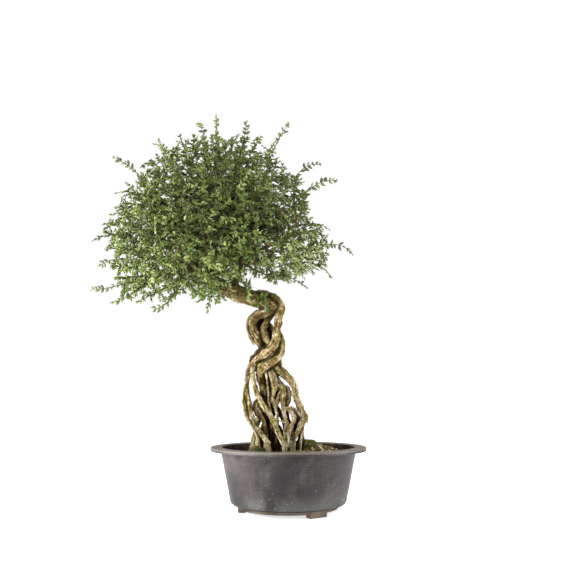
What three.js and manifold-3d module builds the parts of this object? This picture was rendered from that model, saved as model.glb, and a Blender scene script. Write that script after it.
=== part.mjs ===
// Chinese elm bonsai: a tree trained over braided, exposed roots, in a round plastic pot.
// Millimetres, +Z up. Everything is laid out about the pot's axis, and at the end moved so that
// the origin lies on the surface it stands on, under the middle of the whole plant.
import * as THREE from "three";
import { mergeVertices } from "three/addons/utils/BufferGeometryUtils.js";
import Module from "manifold-3d";

const wasm = await Module();
wasm.setup();

// Gap kept between two pieces that touch
const GAP = 0.3;

// Pot
const RIM_RADIUS = 155;
const RIM_TOP = 124;
const LIP_DEPTH = 7;
const LIP_THICKNESS = 2.5;
const FLANGE_THICKNESS = 3;
const WALL = 3;
const WALL_TOP_RADIUS = 135.5;
const WALL_FOOT_RADIUS = 113;
const BODY_BOTTOM = 13.5;
const CORNER = 8;
const FLOOR_TOP = BODY_BOTTOM + WALL;
// The wall leans out by this much for each millimetre of height
const WALL_SLOPE = (WALL_TOP_RADIUS - WALL_FOOT_RADIUS) / (RIM_TOP - BODY_BOTTOM);
const CORNER_RADIUS = WALL_FOOT_RADIUS + WALL_SLOPE * CORNER;
const MOUTH = { radius: WALL_TOP_RADIUS - WALL, bevel: 1, depth: 2 };
const BASE_RING = { inside: 90, outside: 98, bottom: 7 };
const FOOT = { count: 3, first: -55, radius: 92, width: 40, depth: 15 };
const DRAIN = { count: 6, radius: 8, circle: 62, sides: 12 };
const POT_SIDES = 40;

// Soil
const SOIL_EDGE = 102;
const SOIL_SIDES = 28;
const SOIL_RINGS = [110, 82, 56, 30];
// Heaps on the soil: middle x, y, height above the edge, spread
const HEAPS = [
  { x: -35, y: 0, height: 9, spread: 62 },
  { x: 50, y: 0, height: 22, spread: 34 },
  { x: 92, y: 12, height: 12, spread: 30 },
  { x: 20, y: 45, height: 10, spread: 40 },
];
const RIPPLE = { height: 1.5, alongX: 17, alongY: 13 };

// Sides and length of a step for roots over each radius
const ROOT_DETAIL = [
  { over: 8, sides: 8, step: 23 },
  { over: 4.5, sides: 6, step: 23 },
  { over: 0, sides: 5, step: 30 },
];
// Height at which the roots end, in the soil
const ROOT_END = 92;
// Roots and trunk: each row of a strand is x, y, z and radius
const STRANDS = {
  limb: [
    [-190, 6, 486, 11],
    [-168, 5, 470, 13],
    [-142, 3, 453, 14.5],
    [-100, 0, 436, 14.5],
    [-67, -2, 425, 14.5],
    [-42, -3, 414, 13.5],
    [-26, -2, 403, 10.5],
  ],
  elbow: [
    [-70, -2, 432, 9],
    [-53, -2, 434, 9.5],
    [-36, -2, 431, 9.5],
    [-20, -2, 420, 9.5],
    [-12.5, -3, 406, 8.5],
    [-14, -4, 389, 7.5],
    [-19, -6, 375, 7.5],
    [-23, -9, 359, 8],
    [-26, -13, 336, 8.8],
    [-33, -16, 319, 9.2],
    [-44, -18, 308, 8.6],
    [-59, -16, 300, 7],
    [-71, -12, 290, 6],
    [-79, -8, 278, 5.4],
    [-83, -6, 263, 5],
    [-85, -5, 242, 4.6],
  ],
  hook: [
    [-26, 0, 402, 10],
    [-46, -3, 393, 10.5],
    [-66, -3, 387, 10],
    [-76, -3, 376, 8.5],
    [-76, -3, 363, 8.5],
    [-69, -2, 347, 8.5],
    [-62, 2, 333, 8],
    [-52, 10, 318, 8],
    [-38, 17, 303, 8],
    [-24, 18, 288, 7.5],
  ],
  hook_ridge: [
    [-62, -6, 391, 6],
    [-76, -5, 384, 5.5],
    [-84, -4, 371, 4.8],
    [-82, -3, 356, 4.5],
    [-76, -2, 343, 4.2],
    [-68, 0, 331, 4],
  ],
  inner_loop: [
    [-34, 6, 392, 7],
    [-44, 3, 376, 7],
    [-51, 0, 360, 7],
    [-48, -3, 347, 7],
    [-41, -4, 333, 7.5],
    [-32, 0, 316, 7.5],
    [-22, 4, 300, 8],
    [-21, 2, 286, 8],
  ],
  wrap: [
    [-44, 12, 372, 7],
    [-30, 14, 358, 8],
    [-17, 10, 342, 9],
    [-11, 2, 326, 9.5],
    [-12, -6, 311, 9.5],
    [-22, -11, 298, 9.5],
    [-38, -14, 288, 10.5],
    [-52, -13, 280, 11],
    [-57, -6, 266, 9.5],
    [-54, 5, 247, 8],
    [-48, 12, 224, 7.5],
    [-42, 13, 196, 7],
    [-34, 12, 156, 7.5],
    [-30, 12, ROOT_END, 9],
  ],
  outer_right: [
    [-34, 0, 286, 8],
    [-22, -5, 278, 7],
    [-9, -8, 270, 6.4],
    [3, -9, 259, 6.4],
    [11, -9, 249, 6.4],
    [12, -9, 237, 6],
    [10, -9, 227, 6],
    [17, -10, 214, 6.2],
    [23, -10, 202, 6.2],
    [29, -11, 190, 6],
    [34, -11, 179, 6],
    [36, -11, 171, 4.6],
  ],
  outer_right_stub: [
    [30, -11, 182, 5],
    [24, -13, 169, 4.8],
    [18, -16, 155, 4.8],
    [13, -20, 140, 4.6],
    [10, -22, 120, 4.6],
    [9, -22, ROOT_END, 4.6],
  ],
  outer_left: [
    [-80, -6, 268, 4.4],
    [-86, -7, 248, 4],
    [-90, -9, 225, 3.8],
    [-91, -11, 204, 3.8],
    [-88, -12, 188, 3.8],
    [-79, -13, 173, 3.8],
    [-69, -14, 158, 3.8],
    [-66, -14, 145, 4.4],
    [-69, -14, 132, 6.5],
    [-69, -14, ROOT_END, 8],
  ],
  inner_left: [
    [-84, -6, 244, 4.6],
    [-82, -9, 225, 4.6],
    [-78, -13, 205, 4.8],
    [-75, -16, 190, 5],
    [-67, -19, 172, 5],
    [-57, -22, 154, 5],
    [-48, -24, 143, 5.4],
    [-41, -26, 131, 6.5],
    [-37, -26, ROOT_END, 7.5],
  ],
  long_diagonal: [
    [-66, -14, 288, 5],
    [-72, -14, 277, 5],
    [-72, -17, 262, 5],
    [-66, -21, 238, 5],
    [-58, -24, 219, 5.2],
    [-48, -27, 202, 5.2],
    [-38, -29, 189, 5],
    [-30, -31, 176, 5],
    [-23, -32, 159, 5],
    [-17, -33, 145, 5.2],
    [-9, -34, 131, 5.6],
    [-2, -34, ROOT_END, 6],
  ],
  centre: [
    [-38, -8, 280, 6],
    [-33, -12, 266, 7],
    [-30, -13, 254, 8],
    [-28, -13, 241, 7],
    [-31, -12, 229, 5.4],
    [-32, -12, 214, 4.6],
    [-26, -11, 200, 3.6],
    [-22, -8, 180, 3.4],
    [-24, -6, 150, 3.6],
    [-22, -6, ROOT_END, 4],
  ],
  centre_branch: [
    [-13, -9, 238, 4],
    [-17, -10, 229, 4],
    [-21, -11, 216, 4],
    [-24, -11, 202, 3.4],
  ],
  loop_left: [
    [-26, -4, 262, 5],
    [-17, -8, 250, 5],
    [-11, -11, 238, 4.8],
    [-11, -13, 216, 4.6],
    [-10, -15, 194, 4.6],
    [-7, -17, 181, 4.4],
    [-4, -18, 168, 4.2],
    [-6, -18, 150, 4],
    [-9, -18, ROOT_END, 4.2],
  ],
  loop_right: [
    [-12, -6, 242, 4],
    [-4, -4, 240, 4],
    [-1, -4, 228, 4],
    [-3, -4, 209, 4],
    [0, -3, 180, 4],
    [4, -2, 150, 4.4],
    [6, 0, ROOT_END, 5],
  ],
  pale_arc: [
    [-6, -15, 196, 3],
    [2, -15, 201, 3],
    [11, -15, 199, 3],
    [19, -13, 190, 3.2],
    [27, -12, 181, 3.4],
  ],
  pale_root: [
    [0, -14, 198, 3],
    [8, -17, 186, 3.6],
    [11, -18, 177, 3.8],
    [5, -20, 166, 3.4],
    [1, -22, 154, 3.4],
    [0, -23, 141, 3.4],
    [-4, -25, ROOT_END, 3.6],
  ],
  cross_root: [
    [-32, -26, 182, 2.4],
    [-20, -23, 176, 2.2],
    [-8, -21, 171, 2.2],
    [3, -20, 163, 2.4],
  ],
  thin_right: [
    [33, -12, 172, 2.6],
    [31, -14, 156, 2.4],
    [27, -17, 138, 2.4],
    [23, -20, ROOT_END, 2.6],
  ],
  thin_middle: [
    [7, -16, 168, 2.6],
    [8, -19, 150, 2.4],
    [6, -22, 132, 2.6],
    [7, -23, ROOT_END, 3],
  ],
  thin_pale: [
    [-46, -15, 272, 2.6],
    [-43, -18, 254, 2.2],
    [-41, -19, 234, 2.2],
    [-40, -17, 214, 2.2],
    [-36, -10, 196, 2.4],
    [-33, -2, 180, 2.6],
  ],
  left_knob: [
    [-52, 8, 236, 4],
    [-60, 2, 216, 6],
    [-62, -3, 200, 8],
    [-56, -8, 188, 6.5],
    [-50, -12, 174, 4.2],
    [-46, -14, 160, 4.2],
    [-44, -16, 146, 4.4],
    [-46, -16, ROOT_END, 5.5],
  ],
  back_left: [
    [-46, 14, 284, 7],
    [-62, 22, 260, 6.5],
    [-70, 26, 226, 6],
    [-66, 30, 186, 5.6],
    [-72, 34, 148, 6],
    [-80, 38, ROOT_END, 8],
  ],
  back_middle: [
    [-34, 17, 296, 8],
    [-40, 27, 266, 7],
    [-30, 34, 232, 6.4],
    [-34, 38, 190, 6],
    [-44, 44, 150, 6.4],
    [-48, 50, ROOT_END, 8],
  ],
  back_right: [
    [-24, 16, 292, 8],
    [-10, 24, 262, 7],
    [-4, 32, 226, 6.4],
    [4, 30, 188, 6],
    [14, 36, 150, 6.6],
    [20, 40, ROOT_END, 8],
  ],
  back_outer: [
    [-22, 12, 284, 7],
    [-2, 14, 258, 6],
    [12, 18, 228, 5.4],
    [14, 12, 192, 5],
    [24, 10, 154, 5],
    [32, 12, ROOT_END, 7],
  ],
  back_cross: [
    [-64, 22, 250, 5],
    [-44, 34, 226, 5],
    [-20, 38, 200, 5],
    [0, 34, 170, 5],
    [-8, 30, 134, 5.5],
    [-14, 28, ROOT_END, 6.5],
  ],
};

// Main branches, as strands
const BRANCH_DETAIL = { sides: 6, step: 40 };
const BRANCHES = {
  top: [
    [-156, 4, 462, 10],
    [-176, 8, 520, 8.5],
    [-166, 4, 592, 6.6],
    [-152, 0, 660, 4.8],
    [-148, 0, 716, 3],
  ],
  left: [
    [-168, 5, 470, 10],
    [-206, 6, 488, 9],
    [-250, 0, 502, 7],
    [-300, -4, 512, 5],
    [-340, -4, 518, 3],
  ],
  left_low: [
    [-196, 5, 484, 7],
    [-236, -28, 470, 5.6],
    [-284, -40, 462, 4.2],
    [-322, -46, 458, 2.8],
  ],
  left_up: [
    [-190, 6, 486, 8],
    [-226, 20, 540, 6.6],
    [-262, 26, 600, 5],
    [-286, 28, 646, 3],
  ],
  right: [
    [-112, 1, 440, 9],
    [-98, 6, 488, 8],
    [-54, 4, 528, 6.4],
    [2, 0, 552, 4.6],
    [48, -2, 566, 2.8],
  ],
  right_low: [
    [-92, 5, 494, 6],
    [-42, -20, 502, 5],
    [14, -28, 504, 3.8],
    [52, -30, 498, 2.6],
  ],
  right_up: [
    [-100, 6, 482, 7],
    [-98, -8, 550, 6],
    [-66, -12, 622, 4.6],
    [-36, -10, 676, 2.8],
  ],
  front: [
    [-152, 2, 460, 8],
    [-160, -50, 500, 6.4],
    [-166, -98, 536, 4.6],
    [-168, -136, 560, 2.8],
  ],
  front_left: [
    [-188, 5, 486, 7],
    [-222, -56, 520, 5.2],
    [-252, -104, 548, 2.8],
  ],
  front_right: [
    [-99, 4, 486, 7],
    [-82, -56, 528, 5.2],
    [-62, -102, 556, 2.8],
  ],
  back: [
    [-152, 4, 460, 8],
    [-152, 56, 508, 6.4],
    [-146, 104, 546, 4.6],
    [-142, 140, 572, 2.8],
  ],
  back_left: [
    [-188, 7, 486, 7],
    [-224, 66, 520, 5.2],
    [-254, 112, 552, 2.8],
  ],
  back_right: [
    [-99, 8, 486, 7],
    [-78, 64, 528, 5.2],
    [-54, 108, 558, 2.8],
  ],
};

// Tips of the shoots that draw the crown's outline: x and z
const OUTLINE_TIPS = [
  [-157, 821],
  [-196, 808],
  [-90, 808],
  [0, 804],
  [-58, 776],
  [-236, 777],
  [-291, 760],
  [-376, 728],
  [67, 714],
  [103, 678],
  [-366, 650],
  [-393, 580],
  [-413, 545],
  [-397, 490],
  [-408, 440],
  [-366, 412],
  [-314, 414],
  [-282, 400],
  [-200, 410],
  [-171, 390],
  [87, 570],
  [134, 518],
  [90, 468],
  [40, 444],
];
// They lie by turns in front of and behind the crown's middle
const OUTLINE_DEPTHS = [-58, 34, -16, 60, 6];
// Rounds of tips in front of and behind the outline: height angle and headings in degrees
const CROWN = { x: -145, y: 0, z: 545, across: 236, deep: 205, tall: 250 };
const TIP_ROUNDS = [
  { rise: -12, headings: [-144, -114, -84, -56, -28, 28, 56, 84, 114, 144] },
  { rise: 22, headings: [-125, -70, 70, 125] },
  { rise: 48, headings: [-138, -88, -40, 40, 88, 138] },
];
// A shoot grows from its foot, on the line from the crown's heart, to its tip. The heart of
// a low tip is lower, by this much above the tip.
const HEART_HEIGHT = 520;
const LOW_HEART = 100;
const SHOOT = {
  share: 0.4,
  shortest: 40,
  longest: 120,
  radius: 1.7,
  middleTaper: 0.85,
  tipTaper: 0.6,
  arch: 0.08,
  straight: 0.12,
};
// Side branches: radius at the start, and the cost of one that has to turn back on its way
const SIDE_BRANCH = { thickest: 4, taper: 0.8, search: 0.05, forward: 0.35, turnBack: 2.4 };
// Leaves: offset is how far a base lies off the middle of its stem
const LEAF = {
  length: 21,
  width: 11,
  thickness: 1.8,
  spacing: 27,
  lean: 0.62,
  turn: 0.5,
  offset: 0.2,
  checks: [0.35, 0.65, 0.95],
};
const UP = new THREE.Vector3(0, 0, 1);

// Moss cushions: middle x, y, z and half sizes
const MOSS = {
  moss_left: { at: [-60, -34, 112], size: [17, 13, 15] },
  moss_front: { at: [14, -44, 110], size: [22, 10, 9] },
  moss_right: { at: [46, -6, 124], size: [13, 15, 14] },
};

const bark = new THREE.MeshStandardMaterial({ color: 0xa08a62, roughness: 0.9 });
const leafGreen = new THREE.MeshStandardMaterial({ color: 0x4e6b3c, roughness: 0.55 });
const potPlastic = new THREE.MeshStandardMaterial({ color: 0x4d4a4c, roughness: 0.6 });
const darkSoil = new THREE.MeshStandardMaterial({ color: 0x3f3326, roughness: 1 });
const mossGreen = new THREE.MeshStandardMaterial({ color: 0x55682b, roughness: 1 });

// A closed geometry as a solid
function solid(geometry) {
  const bare = geometry.index ? geometry.toNonIndexed() : geometry.clone();
  bare.deleteAttribute("normal");
  bare.deleteAttribute("uv");
  const merged = mergeVertices(bare, 1e-3);
  return new wasm.Manifold(
    new wasm.Mesh({
      numProp: 3,
      vertProperties: merged.attributes.position.array,
      triVerts: new Uint32Array(merged.index.array),
    }),
  );
}

function largest(made) {
  return made.decompose().sort((a, b) => b.volume() - a.volume())[0];
}

function joined(solids) {
  return solids.reduce((whole, next) => whole.add(next));
}

function mesh(name, material, made) {
  const { vertProperties, triVerts } = made.getMesh();
  const geometry = new THREE.BufferGeometry()
    .setAttribute("position", new THREE.BufferAttribute(vertProperties, 3))
    .setIndex(new THREE.BufferAttribute(triVerts, 1));
  geometry.computeVertexNormals();
  const piece = new THREE.Mesh(geometry, material);
  piece.name = name;
  return piece;
}

function curveOf(points) {
  const places = points.map(([x, y, z]) => new THREE.Vector3(x, y, z));
  return new THREE.CatmullRomCurve3(places, false, "centripetal");
}

// A strand's radius at the share u of its length
function radiusAt(points, curve, u) {
  const step = curve.getUtoTmapping(u) * (points.length - 1);
  const before = Math.min(Math.floor(step), points.length - 2);
  return THREE.MathUtils.lerp(points[before][3], points[before + 1][3], step - before);
}

// A tapered round limb along a strand, with flat ends
function limb(points, sides, rings, grown = 0) {
  const curve = curveOf(points);
  const frames = curve.computeFrenetFrames(rings);
  const tube = new THREE.CylinderGeometry(1, 1, 1, sides, rings);
  const vertices = tube.attributes.position;
  for (let i = 0; i < vertices.count; i++) {
    const ring = Math.round((vertices.getY(i) + 0.5) * rings);
    const radius = radiusAt(points, curve, ring / rings) + grown;
    const place = curve
      .getPointAt(ring / rings)
      .addScaledVector(frames.normals[ring], vertices.getX(i) * radius)
      .addScaledVector(frames.binormals[ring], -vertices.getZ(i) * radius);
    vertices.setXYZ(i, place.x, place.y, place.z);
  }
  return solid(tube);
}

// More sides and rings on a thick root than on a thin one
function root(points, grown = 0) {
  const thickest = Math.max(...points.map((point) => point[3]));
  const { sides, step } = ROOT_DETAIL.find(({ over }) => thickest > over);
  return limb(points, sides, Math.ceil(curveOf(points).getLength() / step), grown);
}

function branch(points) {
  const { sides, step } = BRANCH_DETAIL;
  return limb(points, sides, Math.ceil(curveOf(points).getLength() / step));
}

// Pot: turned wall and flange, a ring and feet under the floor, and drain holes through it
function potProfile() {
  const outline = new THREE.Path();
  outline.moveTo(0, FLOOR_TOP);
  outline.lineTo(0, BODY_BOTTOM);
  outline.lineTo(WALL_FOOT_RADIUS - CORNER, BODY_BOTTOM);
  outline.quadraticCurveTo(
    WALL_FOOT_RADIUS,
    BODY_BOTTOM,
    CORNER_RADIUS,
    BODY_BOTTOM + CORNER,
  );
  outline.lineTo(WALL_TOP_RADIUS, RIM_TOP - FLANGE_THICKNESS);
  outline.lineTo(RIM_RADIUS - LIP_THICKNESS, RIM_TOP - FLANGE_THICKNESS);
  outline.lineTo(RIM_RADIUS - LIP_THICKNESS, RIM_TOP - LIP_DEPTH);
  outline.lineTo(RIM_RADIUS, RIM_TOP - LIP_DEPTH);
  outline.quadraticCurveTo(RIM_RADIUS, RIM_TOP, RIM_RADIUS - LIP_THICKNESS, RIM_TOP);
  outline.lineTo(MOUTH.radius + MOUTH.bevel, RIM_TOP);
  outline.lineTo(MOUTH.radius - MOUTH.bevel, RIM_TOP - MOUTH.depth);
  outline.lineTo(CORNER_RADIUS - WALL, FLOOR_TOP + CORNER);
  outline.lineTo(WALL_FOOT_RADIUS - WALL - CORNER / 2, FLOOR_TOP);
  outline.lineTo(0, FLOOR_TOP);
  return outline.getPoints(3);
}

function turned(profile, sides) {
  return solid(new THREE.LatheGeometry(profile, sides).rotateX(Math.PI / 2));
}

function ringProfile(inside, outside, bottom, top) {
  return [
    new THREE.Vector2(inside, bottom),
    new THREE.Vector2(outside, bottom),
    new THREE.Vector2(outside, top),
    new THREE.Vector2(inside, top),
    new THREE.Vector2(inside, bottom),
  ];
}

function footBlock(heading) {
  const height = BODY_BOTTOM + WALL / 2;
  const block = new THREE.BoxGeometry(FOOT.depth, FOOT.width, height);
  block.translate(FOOT.radius, 0, height / 2);
  block.rotateZ(heading);
  return solid(block);
}

function pot() {
  let made = turned(potProfile(), POT_SIDES);
  const ring = ringProfile(
    BASE_RING.inside,
    BASE_RING.outside,
    BASE_RING.bottom,
    BODY_BOTTOM + WALL / 2,
  );
  made = made.add(turned(ring, POT_SIDES));
  for (let i = 0; i < FOOT.count; i++) {
    const heading = FOOT.first + (i * 360) / FOOT.count;
    made = made.add(footBlock(THREE.MathUtils.degToRad(heading)));
  }
  for (let i = 0; i < DRAIN.count; i++) {
    const heading = (i * 2 * Math.PI) / DRAIN.count;
    const { radius, circle, sides } = DRAIN;
    const hole = new THREE.CylinderGeometry(radius, radius, 4 * WALL, sides);
    hole.rotateX(Math.PI / 2);
    hole.translate(circle, 0, BODY_BOTTOM + WALL / 2);
    hole.rotateZ(heading);
    made = made.subtract(solid(hole));
  }
  return made;
}

// Soil: fills the pot to the wall, with an uneven top
function soilHeight(x, y) {
  const heaped = HEAPS.reduce((height, heap) => {
    const away = Math.hypot(x - heap.x, y - heap.y) / heap.spread;
    return height + heap.height * Math.exp(-away * away);
  }, SOIL_EDGE);
  return heaped + RIPPLE.height * Math.sin(x / RIPPLE.alongX) * Math.cos(y / RIPPLE.alongY);
}

function innerWallRadius(z) {
  const low = FLOOR_TOP + CORNER;
  const high = RIM_TOP - MOUTH.depth;
  const highRadius = MOUTH.radius - MOUTH.bevel;
  return THREE.MathUtils.mapLinear(z, low, high, CORNER_RADIUS - WALL, highRadius);
}

function soil(raised = 0) {
  const bottom = FLOOR_TOP + GAP;
  const side = (z) => innerWallRadius(z) - 2 * GAP;
  const profile = [
    new THREE.Vector2(0, bottom),
    new THREE.Vector2(WALL_FOOT_RADIUS - WALL - CORNER, bottom),
    new THREE.Vector2(side(FLOOR_TOP + CORNER), FLOOR_TOP + CORNER),
    new THREE.Vector2(side(SOIL_EDGE), SOIL_EDGE),
    ...SOIL_RINGS.map((radius) => new THREE.Vector2(radius, SOIL_EDGE)),
    new THREE.Vector2(0, SOIL_EDGE),
  ];
  const turnedSoil = new THREE.LatheGeometry(profile, SOIL_SIDES).rotateX(Math.PI / 2);
  const vertices = turnedSoil.attributes.position;
  for (let i = 0; i < vertices.count; i++) {
    const x = vertices.getX(i);
    const y = vertices.getY(i);
    const onTop = vertices.getZ(i) > SOIL_EDGE - 1;
    const atWall = Math.hypot(x, y) > SOIL_RINGS[0] + 1;
    if (onTop && !atWall) vertices.setZ(i, soilHeight(x, y) + raised);
    if (onTop && atWall) vertices.setZ(i, SOIL_EDGE + raised);
  }
  return solid(turnedSoil);
}

// Tips of all shoots, on the crown's outline and then in front of and behind it
function shootTips() {
  const outline = OUTLINE_TIPS.map(([x, z], i) => {
    return new THREE.Vector3(x, OUTLINE_DEPTHS[i % OUTLINE_DEPTHS.length], z);
  });
  const rounds = TIP_ROUNDS.flatMap(({ rise, headings }) =>
    headings.map((heading) => {
      const up = THREE.MathUtils.degToRad(rise);
      const around = THREE.MathUtils.degToRad(heading);
      return new THREE.Vector3(
        CROWN.x + CROWN.across * Math.cos(up) * Math.cos(around),
        CROWN.y + CROWN.deep * Math.cos(up) * Math.sin(around),
        CROWN.z + CROWN.tall * Math.sin(up),
      );
    }),
  );
  return outline.concat(rounds);
}

// The side branch that carries a shoot: from the nearest main branch to the shoot's foot
function sideBranch(foot, heading) {
  const { thickest, taper, search, forward, turnBack } = SIDE_BRANCH;
  let best = { cost: Infinity };
  for (const points of Object.values(BRANCHES)) {
    const curve = curveOf(points);
    for (let u = 3 * search; u < 1; u += search) {
      const place = curve.getPointAt(u);
      const along = curve.getTangentAt(u);
      const ahead = foot.clone().sub(place).normalize().dot(along);
      const cost = place.distanceTo(foot) * (ahead > forward ? 1 : turnBack);
      if (cost < best.cost) best = { cost, place, along, radius: radiusAt(points, curve, u) };
    }
  }
  const third = best.place.distanceTo(foot) / 3;
  const leaving = best.place.clone().addScaledVector(best.along, third / 2).lerp(foot, 1 / 4);
  const arriving = foot.clone().addScaledVector(heading, -third);
  const startRadius = Math.min(best.radius * taper, thickest);
  const thinned = (share) => THREE.MathUtils.lerp(startRadius, SHOOT.radius, share);
  return [
    [...best.place.toArray(), startRadius],
    [...leaving.toArray(), thinned(1 / 3)],
    [...arriving.toArray(), thinned(3 / 4)],
    [...foot.toArray(), SHOOT.radius],
  ];
}

// Each shoot as its side branch and its own stem, which arches from the foot to the tip
function shootPlan(tip) {
  const heartHeight = Math.min(tip.z + LOW_HEART, HEART_HEIGHT);
  const heart = new THREE.Vector3(CROWN.x, tip.y / 2, heartHeight);
  const reach = SHOOT.share * heart.distanceTo(tip);
  const length = THREE.MathUtils.clamp(reach, SHOOT.shortest, SHOOT.longest);
  const foot = tip.clone().addScaledVector(heart.sub(tip).normalize(), length);
  const middle = foot.clone().lerp(tip, 0.5);
  middle.z += length * SHOOT.arch;
  const heading = middle.clone().sub(foot).normalize();
  const carrier = sideBranch(foot, heading);
  const setOff = curveOf(carrier).getTangentAt(1);
  const start = foot.clone().addScaledVector(setOff, GAP);
  // Three points in line keep the stem's flat foot square to its branch's flat end
  const straight = [0, SHOOT.straight / 2, SHOOT.straight].map((share) =>
    start.clone().addScaledVector(setOff, length * share),
  );
  const stem = [
    ...straight.map((place) => [...place.toArray(), SHOOT.radius]),
    [...middle.toArray(), SHOOT.radius * SHOOT.middleTaper],
    [...tip.toArray(), SHOOT.radius * SHOOT.tipTaper],
  ];
  return { carrier, stem };
}

// One leaf, a pointed oval that is thickest in the middle
function leaf(base, along, face) {
  const across = new THREE.Vector3().crossVectors(along, face).normalize();
  const blade = new THREE.SphereGeometry(1, 4, 2);
  blade.scale(LEAF.length / 2, LEAF.thickness / 2, LEAF.width / 2);
  blade.translate(LEAF.length / 2, 0, 0);
  const turn = new THREE.Matrix4().makeBasis(along, face, across).setPosition(base);
  return solid(blade.applyMatrix4(turn));
}

// Balls that fill a leaf
function leafBalls({ base, along }) {
  return LEAF.checks.map((share) => ({
    place: base.clone().addScaledVector(along, LEAF.length * share),
    radius: LEAF.width / 2,
  }));
}

// True where a leaf would come too near something that is already there
function isBlocked(leafPlace, taken) {
  return leafBalls(leafPlace).some(({ place, radius }) =>
    taken.some((ball) => ball.place.distanceTo(place) < ball.radius + radius),
  );
}

// Leaves in pairs along a stem, with one at the tip
function leavesOn(points, taken) {
  const curve = curveOf(points);
  const length = curve.getLength();
  const pairs = Math.floor((length - LEAF.length / 2) / LEAF.spacing);
  const leaves = [];
  for (let i = 0; i < pairs; i++) {
    const u = 1 - (i * LEAF.spacing + (2 / 3) * LEAF.length) / length;
    const stemPlace = curve.getPointAt(u);
    const stemAlong = curve.getTangentAt(u);
    const side = UP.clone().cross(stemAlong).normalize();
    side.applyAxisAngle(stemAlong, LEAF.turn * i);
    const face = new THREE.Vector3().crossVectors(stemAlong, side);
    for (const hand of [-1, 1]) {
      const out = side.clone().multiplyScalar(hand);
      const base = stemPlace.clone().addScaledVector(out, LEAF.offset);
      const along = out.addScaledVector(stemAlong, LEAF.lean).normalize();
      if (!isBlocked({ base, along }, taken)) leaves.push({ base, along, face });
    }
  }
  const along = curve.getTangentAt(1);
  const base = curve.getPointAt(1).addScaledVector(along, -LEAF.length);
  const side = UP.clone().cross(along).normalize();
  leaves.push({ base, along, face: new THREE.Vector3().crossVectors(along, side) });
  return leaves;
}

// Balls along a strand, to keep leaves off it
function ballsAlong(points, spare) {
  const curve = curveOf(points);
  const steps = Math.ceil(curve.getLength() / 5);
  return Array.from({ length: steps + 1 }, (_, i) => ({
    place: curve.getPointAt(i / steps),
    radius: radiusAt(points, curve, i / steps) + spare,
  }));
}

// All shoots as solids, each clear of the branches and of the other shoots
function shoots(plans) {
  const limbs = [STRANDS.limb, ...Object.values(BRANCHES), ...plans.map((plan) => plan.carrier)];
  const taken = limbs.flatMap((points) => ballsAlong(points, 1));
  const stems = plans.map((plan) => ballsAlong(plan.stem, 1));
  return plans.map((plan, i) => {
    const others = stems.filter((_, other) => other !== i).flat();
    const leaves = leavesOn(plan.stem, taken.concat(others));
    taken.push(...leaves.flatMap(leafBalls));
    const stem = limb(plan.stem, 4, 6);
    return joined([stem, ...leaves.map(({ base, along, face }) => leaf(base, along, face))]);
  });
}

// A cushion of moss, less the soil under it and the roots through it
function moss({ at, size }, blockers) {
  const cushion = new THREE.IcosahedronGeometry(1, 2);
  cushion.scale(...size);
  cushion.translate(...at);
  return largest(blockers.reduce((rest, blocker) => rest.subtract(blocker), solid(cushion)));
}

const plans = shootTips().map(shootPlan);
const wood = joined([
  ...Object.values(STRANDS).map((points) => root(points)),
  ...Object.values(BRANCHES).map(branch),
  ...plans.map((plan) => limb(plan.carrier, 4, 3)),
]);

// The room that the roots take in the soil and the moss
const rooted = Object.values(STRANDS).filter((points) => points.at(-1)[2] === ROOT_END);
const rootRoom = joined(
  rooted.map((points) => {
    const [x, y, z, radius] = points.at(-1);
    return root([...points.slice(0, -1), [x, y, z - GAP, radius]], 1.3 * GAP);
  }),
);

const plant = new THREE.Group();
plant.add(mesh("pot", potPlastic, pot()));
plant.add(mesh("soil", darkSoil, soil().subtract(rootRoom)));
plant.add(mesh("roots_trunk_and_branches", bark, wood));
for (const [name, cushion] of Object.entries(MOSS)) {
  plant.add(mesh(name, mossGreen, moss(cushion, [soil(GAP), rootRoom])));
}
shoots(plans).forEach((shoot, i) => {
  plant.add(mesh("leafy_shoot_" + String(i + 1).padStart(2, "0"), leafGreen, shoot));
});

// The origin goes under the middle of the whole plant, on the surface it stands on
const bounds = new THREE.Box3().setFromObject(plant);
const middle = bounds.getCenter(new THREE.Vector3());
plant.position.set(-middle.x, -middle.y, -bounds.min.z);

export default plant;
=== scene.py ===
"""Looks of the Chinese elm bonsai: bark, foliage, moss, soil and the pot's worn plastic.

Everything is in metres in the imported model's frame. Places and sizes of the parts are written in
millimetres from the pot's axis, as in the CAD source, and moved into the frame by placed().
"""

import math
import random

import bmesh
import bpy
import numpy as np
from mathutils import Matrix, Vector
from mathutils.bvhtree import BVHTree
from mathutils.kdtree import KDTree


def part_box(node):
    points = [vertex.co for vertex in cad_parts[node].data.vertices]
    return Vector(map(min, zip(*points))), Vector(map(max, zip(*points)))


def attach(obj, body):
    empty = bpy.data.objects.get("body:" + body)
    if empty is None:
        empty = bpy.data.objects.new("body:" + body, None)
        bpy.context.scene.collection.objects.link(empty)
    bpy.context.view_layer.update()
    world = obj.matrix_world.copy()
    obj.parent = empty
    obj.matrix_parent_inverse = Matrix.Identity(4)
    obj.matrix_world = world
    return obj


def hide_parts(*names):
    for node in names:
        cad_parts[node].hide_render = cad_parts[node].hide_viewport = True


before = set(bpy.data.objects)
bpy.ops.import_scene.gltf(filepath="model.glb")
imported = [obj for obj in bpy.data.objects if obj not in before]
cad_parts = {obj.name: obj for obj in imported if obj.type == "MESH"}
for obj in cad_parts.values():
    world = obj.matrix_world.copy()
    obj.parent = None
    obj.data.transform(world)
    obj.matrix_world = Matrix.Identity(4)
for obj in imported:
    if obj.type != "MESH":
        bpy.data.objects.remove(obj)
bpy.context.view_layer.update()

MM = 0.001
POT_LOW, POT_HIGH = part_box("pot")
AXIS = Vector(((POT_LOW.x + POT_HIGH.x) / 2, (POT_LOW.y + POT_HIGH.y) / 2, 0))
UP = Vector((0, 0, 1))

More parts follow.
